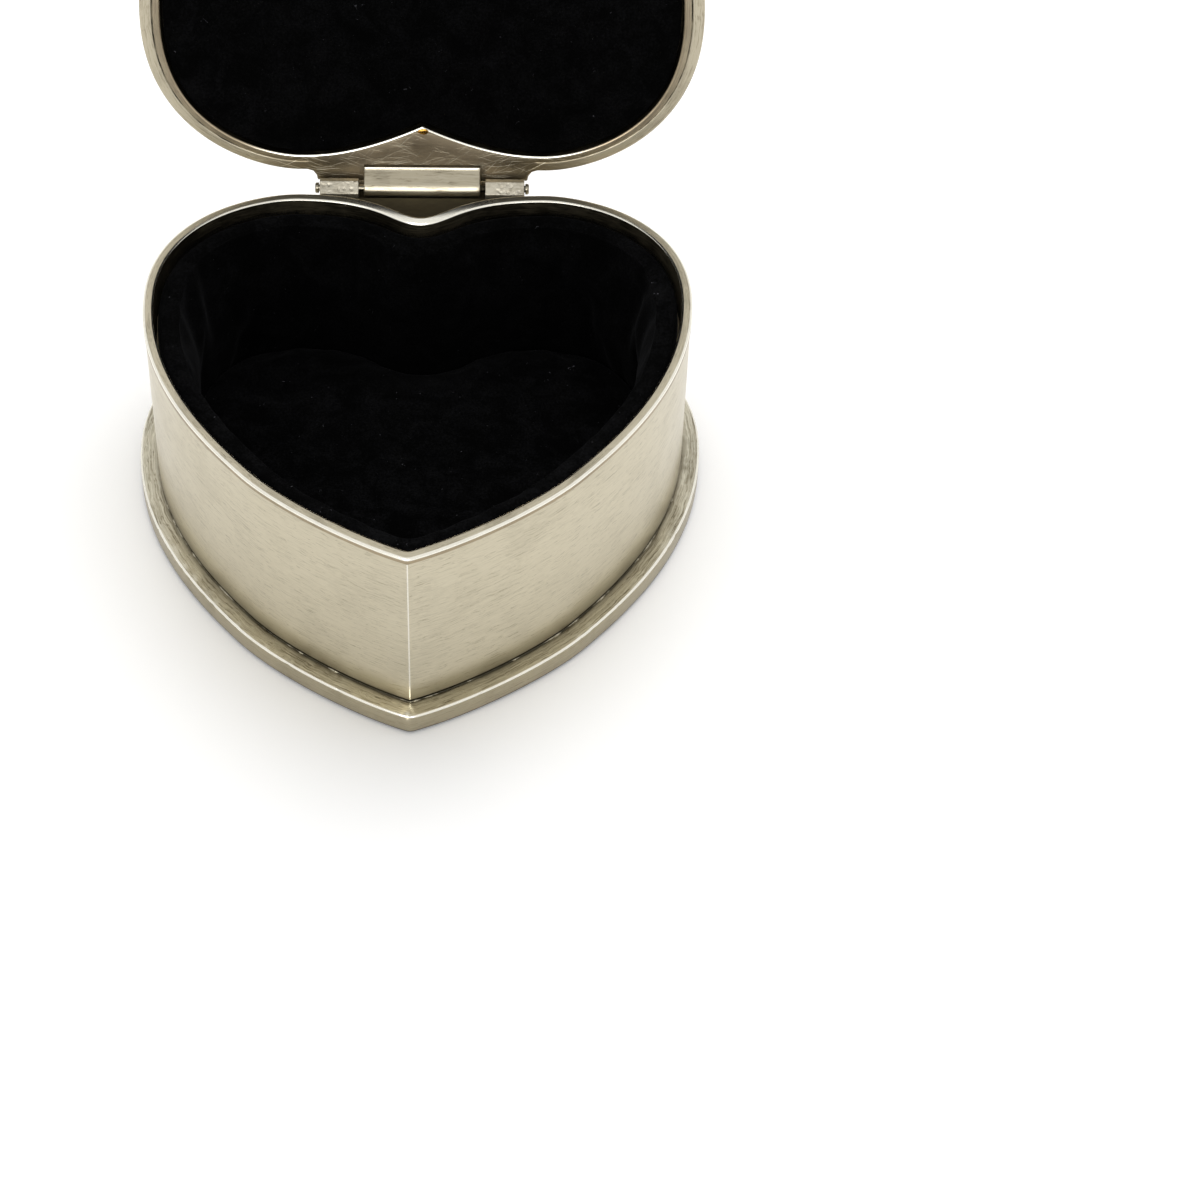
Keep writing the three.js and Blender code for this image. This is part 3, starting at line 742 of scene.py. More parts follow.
def cut_velvet(tree):
    """Black cut-pile velvet: swallows light, pales where the pile is brushed over, and holds lint."""
    colours = sizes("colours")
    coordinates = add_node(tree, "ShaderNodeTexCoord").outputs["Object"]
    # Patches of brushed pile a few millimetres wide, fibres of a quarter of a millimetre, sparse lint
    patches = add_node(tree, "ShaderNodeTexNoise", (), {
        "Vector": coordinates, "Scale": 0.22 / MM, "Detail": 5.0, "Roughness": 0.65, "Distortion": 0.6})
    fibres = add_node(tree, "ShaderNodeTexNoise", (), {
        "Vector": coordinates, "Scale": 3.2 / MM, "Detail": 3.0, "Roughness": 0.7})
    specks = add_node(tree, "ShaderNodeTexNoise", (), {
        "Vector": coordinates, "Scale": 1.3 / MM, "Detail": 2.0, "Roughness": 0.5, "Distortion": 1.2})
    brushed_over = add_node(tree, "ShaderNodeMath", {"operation": "MULTIPLY"}, {
        0: patches.outputs[0], 1: fibres.outputs[0]})
    nap = add_node(tree, "ShaderNodeMapRange", (), {
        "Value": brushed_over.outputs[0], "From Min": 0.2, "From Max": 0.42})
    base = mix_colours(tree, nap.outputs[0], colours.velvet, colours.nap)
    lint = add_node(tree, "ShaderNodeMapRange", (), {
        "Value": specks.outputs[0], "From Min": 0.74, "From Max": 0.8, "To Min": 0.0, "To Max": 0.4})
    base = mix_colours(tree, lint.outputs[0], base, colours.lint)
    bump = add_node(tree, "ShaderNodeBump", (), {
        "Height": fibres.outputs[0], "Strength": 0.7, "Distance": 0.1 * MM})
    return shader(tree, {
        "Base Color": base, "Roughness": 1.0, "Specular IOR Level": 0.02, "Sheen Weight": 0.03,
        "Sheen Roughness": 0.4, "Sheen Tint": (0.52, 0.52, 0.55, 1.0), "Normal": bump.outputs[0]})


def pressed_felt(tree):
    """Pressed wool felt: matt, with short matted fibres."""
    colours = sizes("colours")
    coordinates = add_node(tree, "ShaderNodeTexCoord").outputs["Object"]
    fibres = add_node(tree, "ShaderNodeTexNoise", (), {
        "Vector": coordinates, "Scale": 1.6 / MM, "Detail": 6.0, "Roughness": 0.75, "Distortion": 2.0})
    tone = add_node(tree, "ShaderNodeMapRange", (), {
        "Value": fibres.outputs[0], "From Min": 0.3, "From Max": 0.7})
    base = mix_colours(tree, tone.outputs[0], colours.velvet, colours.felt)
    bump = add_node(tree, "ShaderNodeBump", (), {"Height": fibres.outputs[0], "Distance": 0.15 * MM})
    return shader(tree, {
        "Base Color": base, "Roughness": 1.0, "Specular IOR Level": 0.1, "Sheen Weight": 0.2,
        "Sheen Roughness": 0.6, "Normal": bump.outputs[0]})


def greyboard(tree):
    """Uncoated greyboard: pulp with darker flecks."""
    colours = sizes("colours")
    coordinates = add_node(tree, "ShaderNodeTexCoord").outputs["Object"]
    pulp = add_node(tree, "ShaderNodeTexNoise", (), {
        "Vector": coordinates, "Scale": 0.9 / MM, "Detail": 6.0, "Roughness": 0.7})
    flecks = add_node(tree, "ShaderNodeMapRange", (), {
        "Value": pulp.outputs[0], "From Min": 0.36, "From Max": 0.6})
    base = mix_colours(tree, flecks.outputs[0], colours.patina, colours.board)
    bump = add_node(tree, "ShaderNodeBump", (), {"Height": pulp.outputs[0], "Distance": 0.05 * MM})
    return shader(tree, {"Base Color": base, "Roughness": 0.92, "Normal": bump.outputs[0]})


finishes = {
    # Hand-brushed wall: faint wavering strokes round it, darkened towards the seam with patina and painted
    # shade
    "brushed_pewter_wall": lambda tree: brushed(
        tree, grain=(3.6, 0.15), rough=(0.27, 0.36), depth=0.007, scored=0.35, shaded=(0.2, 4.6, 0.55)),
    # The lip's side, painted darker than the wall as the shade under the rim's outer edge
    "shaded_pewter_lip": lambda tree: brushed(tree, stain=0.3, light="web"),
    # The rim's filed top: duller, so the dark lid behind it doesn't blacken it, but polished over the cleft
    # and painted pale there as its white highlight
    "filed_pewter_rim": lambda tree: polished_towards(
        tree, brushed(tree, grain=(6.0, 0.12), contrast=0.6, rough=(0.38, 0.48), stain=0.3, scored=0.3),
        burnished(tree)),
    # The flange's top: less polished, streaked with patina, and darkened along the wall with patina and
    # painted shade
    "streaked_pewter_flange": lambda tree: brushed(
        tree, grain=(7.0, 0.2), contrast=0.9, rough=(0.24, 0.38), stain=0.4, scored=0.6,
        shaded=(1.0, 2.2, 0.75), light="flange"),
    # The flange's side: the same metal, wiped cleaner
    "brushed_pewter_foot": lambda tree: brushed(
        tree, grain=(7.0, 0.16), contrast=0.6, stain=0.2, scored=0.2, light="foot"),
    # The flange's lower edge, painted dark as the shade where it meets the table
    "painted_shade_pewter_edge": lambda tree: brushed(tree, stain=0.3, light="patina", dark="inside"),
    # Edges that handling and wiping have burnished: glossy, and painted pale for a painted white highlight
    # line
    "burnish_and_highlight_edge": burnished,
    # The lid's outer border, brushed, running into the web, which is brownish from handling and scratched
    "brushed_pewter_lid": lambda tree: polished_towards(
        tree, brushed(tree, rough=(0.3, 0.42), contrast=0.5, stain=0.35, scored=0.4, light="leaf"),
        handled_web(tree)),
    # The lid's inner border, streaked with patina between the scribed line and the recess
    "streaked_pewter_lid": lambda tree: polished_towards(
        tree, brushed(tree, grain=(7.0, 0.2), contrast=0.9, stain=0.5, scored=0.5, light="shade"),
        handled_web(tree)),
    # The scribed line, filled with old polish, which stops at the web
    "scribed_pewter_line": lambda tree: polished_towards(
        tree, brushed(tree, grain=(2.5, 0.5), contrast=1.0, light="foot", dark="inside"),
        handled_web(tree)),
    # The edge of the recess: dull brown, but worn bright at the web and painted pale there as a highlight
    "worn_pewter_edge": lambda tree: polished_towards(
        tree, brushed(tree, stain=0.4, light="web"), burnished(tree)),
    # The lid's outside, brushed straight across
    "brushed_pewter_dome": lambda tree: brushed(tree, by_uv=False),
    # Unpolished metal inside the rim and the lid: dull, and painted nearly black as the shade there
    "painted_shade_pewter_inside": lambda tree: brushed(
        tree, grain=(4.0, 0.3), rough=(0.42, 0.6), depth=0.012, stain=0.6, light="inside", dark="patina"),
    # The hinge's leaf: polished along the pin, so its knuckle takes one white highlight
    "polished_pewter_leaf": lambda tree: brushed(
        tree, grain=(6.0, 0.3), contrast=0.7, by_uv=False, stain=0.4, scored=0.5, light="leaf"),
    # The outer knuckles as cast: pale, gritty and dull
    "cast_pewter_knuckle": lambda tree: brushed(
        tree, grain=(1.2, 0.5), rough=(0.4, 0.56), depth=0.02, by_uv=False, stain=0.3, pits=0.06,
        light="knuckle"),
    # The bracket behind the cleft: rough casting, painted dark as the shade under the lid and the knuckles
    "painted_shade_bracket": lambda tree: brushed(
        tree, grain=(1.5, 0.6), rough=(0.45, 0.6), depth=0.01, by_uv=False, stain=0.3, light="bridge",
        dark="inside"),
    # Its outside, brushed like the wall but less evenly
    "brushed_pewter_bracket": lambda tree: brushed(
        tree, grain=(4.0, 0.2), contrast=0.5, depth=0.01, by_uv=False, stain=0.3, scored=0.3),
    # Steel wire straight from the die: the brightest metal here
    "drawn_steel_wire": lambda tree: smooth_metal(tree, "pin", low=0.16, high=0.3, grit=0.4, depth=0.01),
    # The same wire between the knuckles, painted dark as the shade in their gaps
    "painted_shade_steel_wire": lambda tree: smooth_metal(
        tree, "inside", low=0.45, high=0.6, grit=0.4, depth=0.01),
    # Soft solder: bright lumps with dull flux between
    "soft_solder": lambda tree: smooth_metal(tree, "solder", low=0.25, high=0.5, grit=0.5, depth=0.05),
    # Amber flux that the solder left
    "amber_flux": lambda tree: smooth_metal(tree, "flux", low=0.2, high=0.35, grit=0.3, depth=0.02),
    "black_cut_velvet": cut_velvet,
    "pressed_black_felt": pressed_felt,
    "uncoated_greyboard": greyboard,
}


def settle(piece, body, slot, *nodes):
    """Puts a piece on its body and hides the CAD nodes that it stands for. slot is not used."""
    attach(piece, body)
    if nodes:
        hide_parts(*nodes)
    return piece


def settle_open(piece, slot, *nodes):
    """Turns a piece that was drawn shut to where the lid stands, and puts it on the lid."""
    piece.data.transform(lid_turn(-lid_opening))
    return settle(piece, "lid", slot, *nodes)


def dress_node(node, material):
    """Gives a CAD node that stays in view a finish."""
    held = frame["nodes"][node]
    held.data.materials.clear()
    held.data.materials.append(finish(material))


# Soft pieces

simulation_scale = 10
simulation_frames = 20
# How thick a fibre's foot is on average, and the least and greatest shares of its length and thickness
fibre_radius = 0.035 * MM
fibre_lengths = (0.35, 1)
fibre_thicknesses = (0.7, 1.3)


def swell(piece, held, pressure, growth, cap):
    """Swells a closed skin as stuffed cloth, held where a test of the place is true.

    pressure is the stuffing's, growth the share that the cloth is too large by, and no point moves
    further than cap. The cloth is simulated ten times too large, which suits the solver, and then
    shrunk back.
    """
    mesh = piece.data
    start = np.array([vertex.co for vertex in mesh.vertices], float).reshape(-1, 3)
    mesh.transform(Matrix.Scale(simulation_scale, 4))
    group = piece.vertex_groups.new(name="held")
    group.add([index for index, place in enumerate(start) if held(place)], 1, "REPLACE")
    cloth = piece.modifiers.new("Cloth", "CLOTH")
    cloth.settings.quality = 7
    cloth.settings.mass = 0.3
    cloth.settings.tension_stiffness = 15
    cloth.settings.compression_stiffness = 15
    cloth.settings.shear_stiffness = 5
    cloth.settings.bending_stiffness = 0.4
    cloth.settings.use_pressure = True
    cloth.settings.uniform_pressure_force = pressure
    cloth.settings.vertex_group_mass = group.name
    cloth.settings.shrink_min = -growth
    cloth.settings.effector_weights.gravity = 0
    cloth.collision_settings.use_collision = False
    cloth.point_cache.frame_end = simulation_frames
    scene = bpy.context.scene
    for step in range(1, simulation_frames + 1):
        scene.frame_set(step)
    swollen = piece.evaluated_get(bpy.context.evaluated_depsgraph_get())
    end = np.array([vertex.co for vertex in swollen.data.vertices], float) / simulation_scale
    piece.modifiers.remove(cloth)
    piece.vertex_groups.clear()
    scene.frame_set(1)
    move = np.nan_to_num(end - start)
    far = np.linalg.norm(move, axis=1, keepdims=True)
    nearly_still = cap / 1000
    move *= np.minimum(1, cap / np.maximum(far, nearly_still))
    mesh.vertices.foreach_set("co", (start + move).astype(np.float32).ravel())
    mesh.update()


def relax(piece, times):
    """Evens a mesh's points a little, so that no facets show."""
    smooth = piece.modifiers.new("Smooth", "SMOOTH")
    smooth.factor = 0.5
    smooth.iterations = times


def apply_modifiers(piece):
    """Turns what the modifiers give into the piece's own mesh."""
    graph = bpy.context.evaluated_depsgraph_get()
    made = bpy.data.meshes.new_from_object(piece.evaluated_get(graph), depsgraph=graph)
    piece.modifiers.clear()
    piece.data = made
    made.name = piece.name
    made.shade_smooth()


def remeshed(piece, voxel):
    """Covers a closed skin with even small squares, which cloth needs."""
    remesh = piece.modifiers.new("Remesh", "REMESH")
    remesh.mode = "VOXEL"
    remesh.voxel_size = voxel
    remesh.use_smooth_shade = True
    apply_modifiers(piece)


def subdivided(piece):
    fine = piece.modifiers.new("Subdivision", "SUBSURF")
    fine.levels = 1
    fine.render_levels = 1
    apply_modifiers(piece)


def fringe(name, roots, lean, seed):
    """Short closed fibres standing out of roots, each a place and an outward direction."""
    random = np.random.default_rng(seed)
    pile = sizes("lining").pile
    places, faces = [], []
    for place, outward in roots:
        tall = pile * random.uniform(*fibre_lengths)
        thick = fibre_radius * random.uniform(*fibre_thicknesses)
        aim = Vector(outward) + Vector(random.uniform(-lean, lean, 3))
        aim.normalize()
        side = aim.orthogonal().normalized()
        first = len(places)
        for turn in range(3):
            spoke = Matrix.Rotation(math.tau * turn / 3, 3, aim) @ side
            places.append(Vector(place) - aim * thick + spoke * thick)
        places.append(Vector(place) + aim * tall)
        faces += [(first, first + 1, first + 3), (first + 1, first + 2, first + 3)]
        faces += [(first + 2, first, first + 3), (first, first + 2, first + 1)]
    return make_piece(name, places, faces, materials=[finish("black_cut_velvet")])


# Pieces of the box

def build_wall():
    """Side wall: one band, with a lip that is rounded over at the top."""
    wall = sizes("wall")
    foot, top = wall_low.z, wall_high.z
    face, inner = -wall.overhang, -wall.thickness
    lip_foot = top - wall.lip_height
    # Roundings, how far the rim falls towards its outer edge, and how far down its wear reaches
    fine, lip_foot_round, soft = 0.1 * MM, 0.12 * MM, 0.2 * MM
    rim_fall, worn_depth = 0.04 * MM, 0.5 * MM
    # The undercut's slope, the part of it that is painted dark as the shade in the seam, and the bevel's
    # fall, as shares of their widths
    undercut_in, undercut_up, undercut_dark, bevel_fall = 0.7, 0.8, 0.9, 0.35
    row_gap = 1.6 * MM
    outside = rounded([
        (face - wall.undercut, foot, 0, wall.wall_tip),
        (face - wall.undercut * undercut_in, foot + wall.undercut * undercut_up, 0, wall.wall_tip),
        (face, foot + wall.undercut, soft, wall.wall_tip),
        (face, lip_foot - wall.overhang, fine, wall.wall_tip),
        (0, lip_foot, lip_foot_round, wall.lip_tip),
        (0, top - rim_fall, wall.lip_round, wall.lip_tip),
        (inner + wall.bevel, top, fine, wall.lip_tip),
        (inner, top - bevel_fall * wall.bevel, fine, wall.inner_tip),
        (inner, foot, 0, wall.inner_tip),
    ])
    line = spread(outside, row_gap)
    names = ("brushed_pewter_wall", "filed_pewter_rim", "painted_shade_pewter_inside", "burnish_and_highlight_edge",
             "shaded_pewter_lip")
    side, rim, painted_shade, bright, lip = range(len(names))
    kinds = []
    # The inside and the undercut's foot are painted nearly black as shade, the lip's side darker as shade,
    # and the lip's rounded edge and the inner bevel pale as highlight lines
    for before, after in zip(line, line[1:]):
        height, out = (before[1] + after[1]) / 2, (before[0] + after[0]) / 2
        if out < inner + fine and height < top - soft or height < foot + undercut_dark * wall.undercut:
            kinds.append(painted_shade)
        elif height < lip_foot - soft:
            kinds.append(side)
        elif height < top - wall.lip_round:
            kinds.append(lip)
        else:
            kinds.append(bright if out > -wall.lip_round or out < inner + wall.bevel else rim)
    rings = rings_of(line)
    # The wall is thinner at the cleft, and its rim slopes in where it is worn
    for ring, (offset, height, *_) in zip(rings, line):
        inward = min(max(-offset / wall.thickness, 0), 1)
        near_cleft = inward * np.exp(-(ring[:, 0] / wall.wear_width) ** 2) * (ring[:, 1] > 0)
        ring[:, 1] += wall.thinned * near_cleft
        if height > top - worn_depth:
            ring[:, 2] -= wall.wear * near_cleft
    walk = walk_round(heart(0, wall.wall_tip))
    materials = [finish(name) for name in names]
    piece = loft("wall_shell_finished", rings, materials, walk, looped=True, kinds=[*kinds, painted_shade])
    # The front corner is burnished from top to foot and painted pale as a highlight line
    for face in piece.data.polygons:
        if face.material_index == side and face.center.y < 0 and abs(face.center.x) < wall.corner_highlight:
            face.material_index = bright
    places = np.array([vertex.co for vertex in piece.data.vertices])
    # Over one, so that the middle of the worn stretch is fully polished and painted pale as its highlight
    most_polish = 1.4
    set_polish(piece, most_polish * np.exp(-(places[:, 0] / wall.wear_width) ** 2) * (places[:, 1] > 0))
    shift_points(piece, sunk(wall.unevenness, size=7 * MM, seed=3))
    settle(piece, "box", "pewter", "wall_shell")


def build_seam():
    """Solder left along the wall's foot, in broken lumps."""
    base, wall = sizes("base"), sizes("wall")
    bead_sides, flattened, sunk_in = 10, 0.8, 0.2
    # Lumps about 2 mm apart. Their noise, made steeper and lower, leaves a mere thread between them
    lump_gap, lump_fall, lump_fineness, lump_layers = 1.9 * MM, 0.7, 2.1, 3
    steeper, lower, thread = 2.6, 0.4, 0.08
    path = heart(-wall.overhang - base.seam * sunk_in, wall.wall_tip + base.seam)
    along = np.roll(path, -1, axis=0) - np.roll(path, 1, axis=0)
    along /= np.linalg.norm(along, axis=1, keepdims=True)
    outward = np.stack([along[:, 1], -along[:, 0]], axis=1)
    lumps = [noise.fractal(Vector((*place, 0)) / lump_gap, lump_fall, lump_fineness, lump_layers)
             for place in path]
    radii = base.seam * np.clip(steeper * np.array(lumps) - lower, thread, 1)
    rings = []
    for turn in np.linspace(0, math.tau, bead_sides, endpoint=False):
        ring = path + outward * (radii * math.cos(turn))[:, None]
        rings.append(np.column_stack([ring, plate_high.z + radii * math.sin(turn) * flattened]))
    piece = loft("solder_seam", rings, [finish("soft_solder")], looped=True, crease=no_crease)
    settle(piece, "box", "pewter")


def build_base():
    """Base plate with a recess underneath for its felt."""
    base = sizes("base")
    reach = plate_high.y - wall_high.y
    foot, top = plate_low.z, plate_high.z
    # Room for the felt and its glue, the recess's roundings, and what is drawn of the plate's flat parts
    felt_room, glue = 0.3 * MM, 0.1 * MM
    recess_round, roof_round = 0.2 * MM, 0.15 * MM
    under_wall, recess_roof, row_gap = 1.2 * MM, 2 * MM, 0.9 * MM
    recess = felt_high.x - wall_high.x + felt_room
    recess_top = felt_high.z + glue
    line = rounded([
        (-under_wall, top, 0, base.tip_radius),
        (reach, top, base.edge_round, base.tip_radius),
        (reach, foot, base.edge_round, base.tip_radius),
        (recess, foot, recess_round, base.felt_tip),
        (recess, recess_top, roof_round, base.felt_tip),
        (recess - recess_roof, recess_top, 0, base.felt_tip),
    ])
    line = spread(line, row_gap)
    names = ("streaked_pewter_flange", "brushed_pewter_foot", "burnish_and_highlight_edge", "painted_shade_pewter_edge")
    flange, side, upper_edge, lower_edge = range(len(names))
    kinds = []
    # The flange's upper edge is painted pale as a highlight line, and its lower edge dark as the shade at the
    # table
    for before, after in zip(line, line[1:]):
        height, out = (before[1] + after[1]) / 2, (before[0] + after[0]) / 2
        if height > top - base.edge_round:
            kinds.append(upper_edge if out > reach - base.edge_round else flange)
        else:
            kinds.append(side if height > foot + base.edge_round else lower_edge)
    walk = walk_round(heart(0, sizes("wall").wall_tip))
    materials = [finish(name) for name in names]
    piece = loft("base_plate_finished", rings_of(line), materials, walk, kinds=[*kinds, lower_edge])
    shift_points(piece, sunk(base.unevenness, size=6 * MM, seed=11))
    random = np.random.default_rng(7)
    edge_in = base.edge_round / 4
    edge = at_height(heart(reach - edge_in, base.tip_radius), top - edge_in)
    sink_nicks(piece, random.choice(edge, base.nick_count), base.nick_depth, base.nick_width, seed=5)
    settle(piece, "box", "pewter", "base_plate")


def build_felt():
    """Felt sheet glued into the base plate's recess."""
    base = sizes("base")
    edge = felt_high.x - wall_high.x
    # How far in the flat faces are drawn in rings, and how fine
    flat, row_gap, spacing = 3 * MM, 0.5 * MM, 0.6 * MM
    line = rounded([
        (edge - flat, felt_high.z, 0, base.felt_tip),
        (edge, felt_high.z, base.felt_round, base.felt_tip),
        (edge, 0, base.felt_round, base.felt_tip),
        (edge - flat, 0, 0, base.felt_tip),
    ])
    piece = loft("base_felt_sheet", rings_of(spread(line, row_gap), spacing), [finish("pressed_black_felt")])
    outline = heart(edge, base.felt_tip)
    settle(piece, "box", "felt", "base_felt")


def build_side_lining():
    """Padded velvet strip round the inside, hooked over its card and fullest above its middle."""
    lining, wall = sizes("lining"), sizes("wall")
    foot, top = lining_low.z, lining_high.z + lining.rise
    tall = top - foot
    hook = -wall.thickness - 0.4 * MM
    back = -wall.thickness - 1 * MM
    bulge, foot_width, top_width = 4.1 * MM, 2.2 * MM, 2.4 * MM
    # Where the padding's face lies: shares of the bulge and of the height, from the top down
    face_shares = ((0.84, 0.82), (0.9, 0.6), (0.6, 0.3))
    over_card, hook_foot = side_card_high.z + 0.3 * MM, side_card_high.z + 0.6 * MM
    tip = lining.tip_radius
    line = rounded([
        (back, foot, 0.2 * MM, tip),
        (back, over_card, 0.3 * MM, tip),
        (hook, hook_foot, 0.2 * MM, tip),
        (hook, top, 1.2 * MM, tip),
        (back - top_width, top - 0.1 * MM, 1.5 * MM, tip),
        *[(back - bulge * out, foot + up * tall, 3 * MM, tip) for out, up in face_shares],
        (back - foot_width, foot, 0.4 * MM, tip),
    ], looped=True)
    line = spread([*line, line[0]], lining.spacing)[:-1]
    rings = rings_of(line, lining.spacing)
    piece = loft("side_lining_velvet", rings, [finish("black_cut_velvet")], looped=True, crease=no_crease)
    # Held along its foot, along its top, and where it is glued to the card
    held_foot, held_top = foot + 1.2 * MM, top - 0.4 * MM
    card_face = heart(back - 0.5 * MM, tip, 0.5 * MM)

    def held(place):
        return place[2] < held_foot or place[2] > held_top or not inside_outline(card_face, place)

    swell(piece, held, pressure=2.2, growth=0.05, cap=lining.side_cap)
    relax(piece, 3)
    subdivided(piece)
    settle(piece, "box", "velvet", "side_lining")
    root_depth = 0.25 * MM
    edge = at_height(heart(hook - root_depth, tip, lining.fibre_gap), top - root_depth)
    roots = [(place, (0, 0, 1)) for place in edge]
    settle(fringe("side_lining_pile", roots, lean=0.7, seed=13), "box", "velvet")


def inside_outline(outline, place):
    """True if a place, seen from above, is inside an outline."""
    x, y = place[:2]
    across, up = outline.T
    next_across, next_up = np.roll(across, -1), np.roll(up, -1)
    crossed = (up > y) != (next_up > y)
    where = across + (y - up) / np.where(crossed, next_up - up, 1) * (next_across - across)
    return bool(np.count_nonzero(crossed & (x < where)) % 2)


def build_floor_pad():
    """Velvet floor pad: sides drawn in under a rounded edge, and a low crown."""
    lining = sizes("lining")
    foot, top = pad_low.z, pad_high.z
    edge = pad_high.x - wall_high.x
    # The side's foot is tucked in, and its shoulder lies below the crown
    tuck, side_foot = 0.4 * MM, foot + 0.8 * MM
    shoulder = top - 1.5 * MM
    crown_height, spacing = 1.2 * MM, 0.9 * MM
    line = rounded([
        (edge - tuck, foot, 0.2 * MM, lining.pad_tip),
        (edge, side_foot, 0.5 * MM, lining.pad_tip),
        (edge, shoulder - 0.5 * MM, 0.9 * MM, lining.pad_tip),
        (edge - 2.4 * MM, shoulder + 0.3 * MM, 0, lining.pad_tip),
    ])
    rings = rings_of(line, spacing)
    rim = rings[-1]
    for share in (0.85, 0.68, 0.5, 0.3, 0.12):
        rings.append(drawn_in(rim, share, top - crown_height * share ** 2))
    piece = loft("floor_pad_velvet", rings, [finish("black_cut_velvet")], crease=no_crease)
    remeshed(piece, lining.voxel)
    held_foot = foot + 1.2 * MM
    swell(piece, lambda place: place[2] < held_foot, pressure=1.6, growth=0.035, cap=lining.pad_cap)
    relax(piece, 2)
    subdivided(piece)
    settle(piece, "box", "velvet", "floor_pad")


def build_linings():
    build_side_lining()
    build_floor_pad()
    for node in ("side_card", "floor_card"):
        dress_node(node, "uncoated_greyboard")


# Hinge

def build_bracket():
    """Bracket behind the cleft: a recessed bridge, a trough for the knuckles and a heel to stop the lid."""
    hinges, wall = sizes("hinge"), sizes("wall")
    knuckle = hinge_point.z - leaf_low.z
    reach = knuckle + hinges.trough_wall
    near = knuckle + hinges.trough_front
    middle, axis = hinge_point.y, hinge_point.z
    bridge_top = axis - hinges.bridge
    trough = axis - reach
    heel_top = axis - hinges.stop
    heel_back = bracket_high.y
    # How far the bracket runs into the wall, how thick its lower end is, its ends' rounding in two steps,
    # and how many sections it is drawn with
    into_wall, least_depth = 0.15 * MM, 0.4 * MM
    edge, edge_step, edge_inset = 0.25 * MM, 0.1 * MM, 0.08 * MM
    section_count = 90
    outline = heart(into_wall - wall.overhang, wall.wall_tip)
    back_half = outline[outline[:, 1] > 0]
    order = np.argsort(back_half[:, 0])
    half = bracket_high.x
    stations = [(-half, edge), (-half + edge_step, edge_inset), (-half + edge, 0)]
    stations += [(x, 0) for x in np.linspace(-half + 2 * edge, half - 2 * edge, section_count)]
    stations += [(-x, inset) for x, inset in reversed(stations[:3])]
    rings = []
    for x, inset in stations:
        front = np.interp(x, back_half[order, 0], back_half[order, 1])
        section = round_corners([
            (front, bracket_low.z, 0.2 * MM),
            (max(wall_high.y, front + least_depth), bracket_low.z, 0.3 * MM),
            (heel_back, trough - hinges.heel, 0.5 * MM),
            (heel_back, heel_top, 0.35 * MM),
            (middle + reach, heel_top, 0.2 * MM),
            (middle + reach, trough, 0.6 * MM),
            (middle - near, trough, 0.6 * MM),
            (middle - near, bridge_top, 0.15 * MM),
            (front, bridge_top, 0.05 * MM),
        ])
        section = inset_outline(np.array(section), inset)
        rings.append(np.column_stack([np.full(len(section), x), section]))
    names = ("painted_shade_bracket", "brushed_pewter_bracket")
    in_painted_shade, brushed_metal = range(len(names))
    piece = loft("hinge_bracket_finished", rings, [finish(name) for name in names])
    # The bridge and the trough are painted dark as shade, and the outside is brushed like the wall
    under_trough = trough - 0.2 * MM
    for face in piece.data.polygons:
        outside = face.center.y > middle + reach or face.center.z < under_trough
        face.material_index = brushed_metal if outside or abs(face.center.x) > half - edge else in_painted_shade
    settle(piece, "box", "pewter", "hinge_bracket")


def build_lugs():
    """Outer knuckles, cast in one with the bracket, rough and pitted."""
    hinges = sizes("hinge")
    knuckle = hinge_point.z - leaf_low.z
    middle, axis = hinge_point.y, hinge_point.z
    foot = axis - knuckle - 2 * hinges.trough_wall
    point_gap, end_round = 0.16 * MM, 0.14 * MM
    # Waves that casting leaves, and the pits: how far apart, and the noise above which they start
    wave_depth, wave_size = 0.07 * MM, 1.1 * MM
    pit_gap, pit_from, pit_range = 0.42 * MM, 0.32, 0.4
    section = round_corners([
        (middle - knuckle, foot, 0.1 * MM),
        (middle + knuckle, foot, 0.1 * MM),
        (middle + knuckle, axis + 0.6 * hinges.lug_top, 0.5 * MM),
        (middle + 0.1 * knuckle, axis + hinges.lug_top, 0.22 * MM),
        (middle - knuckle, axis + 0.1 * hinges.lug_top, 0.35 * MM),
    ], steps=6)
    closed = [(*place, 0) for place in [*section, section[0]]]
    section = [place[:2] for place in spread(closed, point_gap)[:-1]]
    inner, outer = hinges.lug_inner, bracket_high.x

    def pits(place, normal):
        deep = noise.noise(place / pit_gap + Vector((31, 0, 0)))
        return -normal * hinges.pit * max(0, deep - pit_from) / pit_range

    for side, low, high in (("left", -outer, -inner), ("right", inner, outer)):
        materials = [finish("cast_pewter_knuckle")]
        piece = bar("hinge_lug_" + side, section, low, high, materials, end_round, point_gap)
        shift_points(piece, sunk(wave_depth, wave_size, seed=21))
        shift_points(piece, pits)
        settle(piece, "box", "pewter")


def build_pin():
    """Hinge pin with a rounded head at each end."""
    hinges = sizes("hinge")
    radius, end = hinges.pin_radius, pin_high.x
    head = hinges.head_share * (pin_high.z - hinge_point.z)
    start = end - hinges.head
    round_steps = 48
    corners = [
        (0, 0, 0), (radius, 0, 0), (radius, start, 0), (head, start, 0.1 * MM), (head, end, 0.28 * MM),
        (0, end, 0)]
    upper = rounded([(*corner, 0) for corner in corners])[1:-1]
    profile = [(along, out) for out, along, _ in upper]
    profile = [(-along, out) for along, out in reversed(profile)] + profile
    turns = np.linspace(0, math.tau, round_steps, endpoint=False)
    rings = []
    for along, out in profile:
        rings.append(np.column_stack([
            np.full(round_steps, along), hinge_point.y + out * np.cos(turns),
            hinge_point.z + out * np.sin(turns)]))
    names = ("drawn_steel_wire", "painted_shade_steel_wire")
    bright, dark = range(len(names))
    # The wire between the heads is painted dark as the shade in the knuckles' gaps
    kinds = [bright if abs(along) > start - 0.01 * MM else dark for along, _ in profile]
    kinds[len(profile) // 2 - 1] = dark
    piece = loft("hinge_pin_finished", rings, [finish(name) for name in names], kinds=kinds)
    settle(piece, "box", "pin_metal", "hinge_pin")


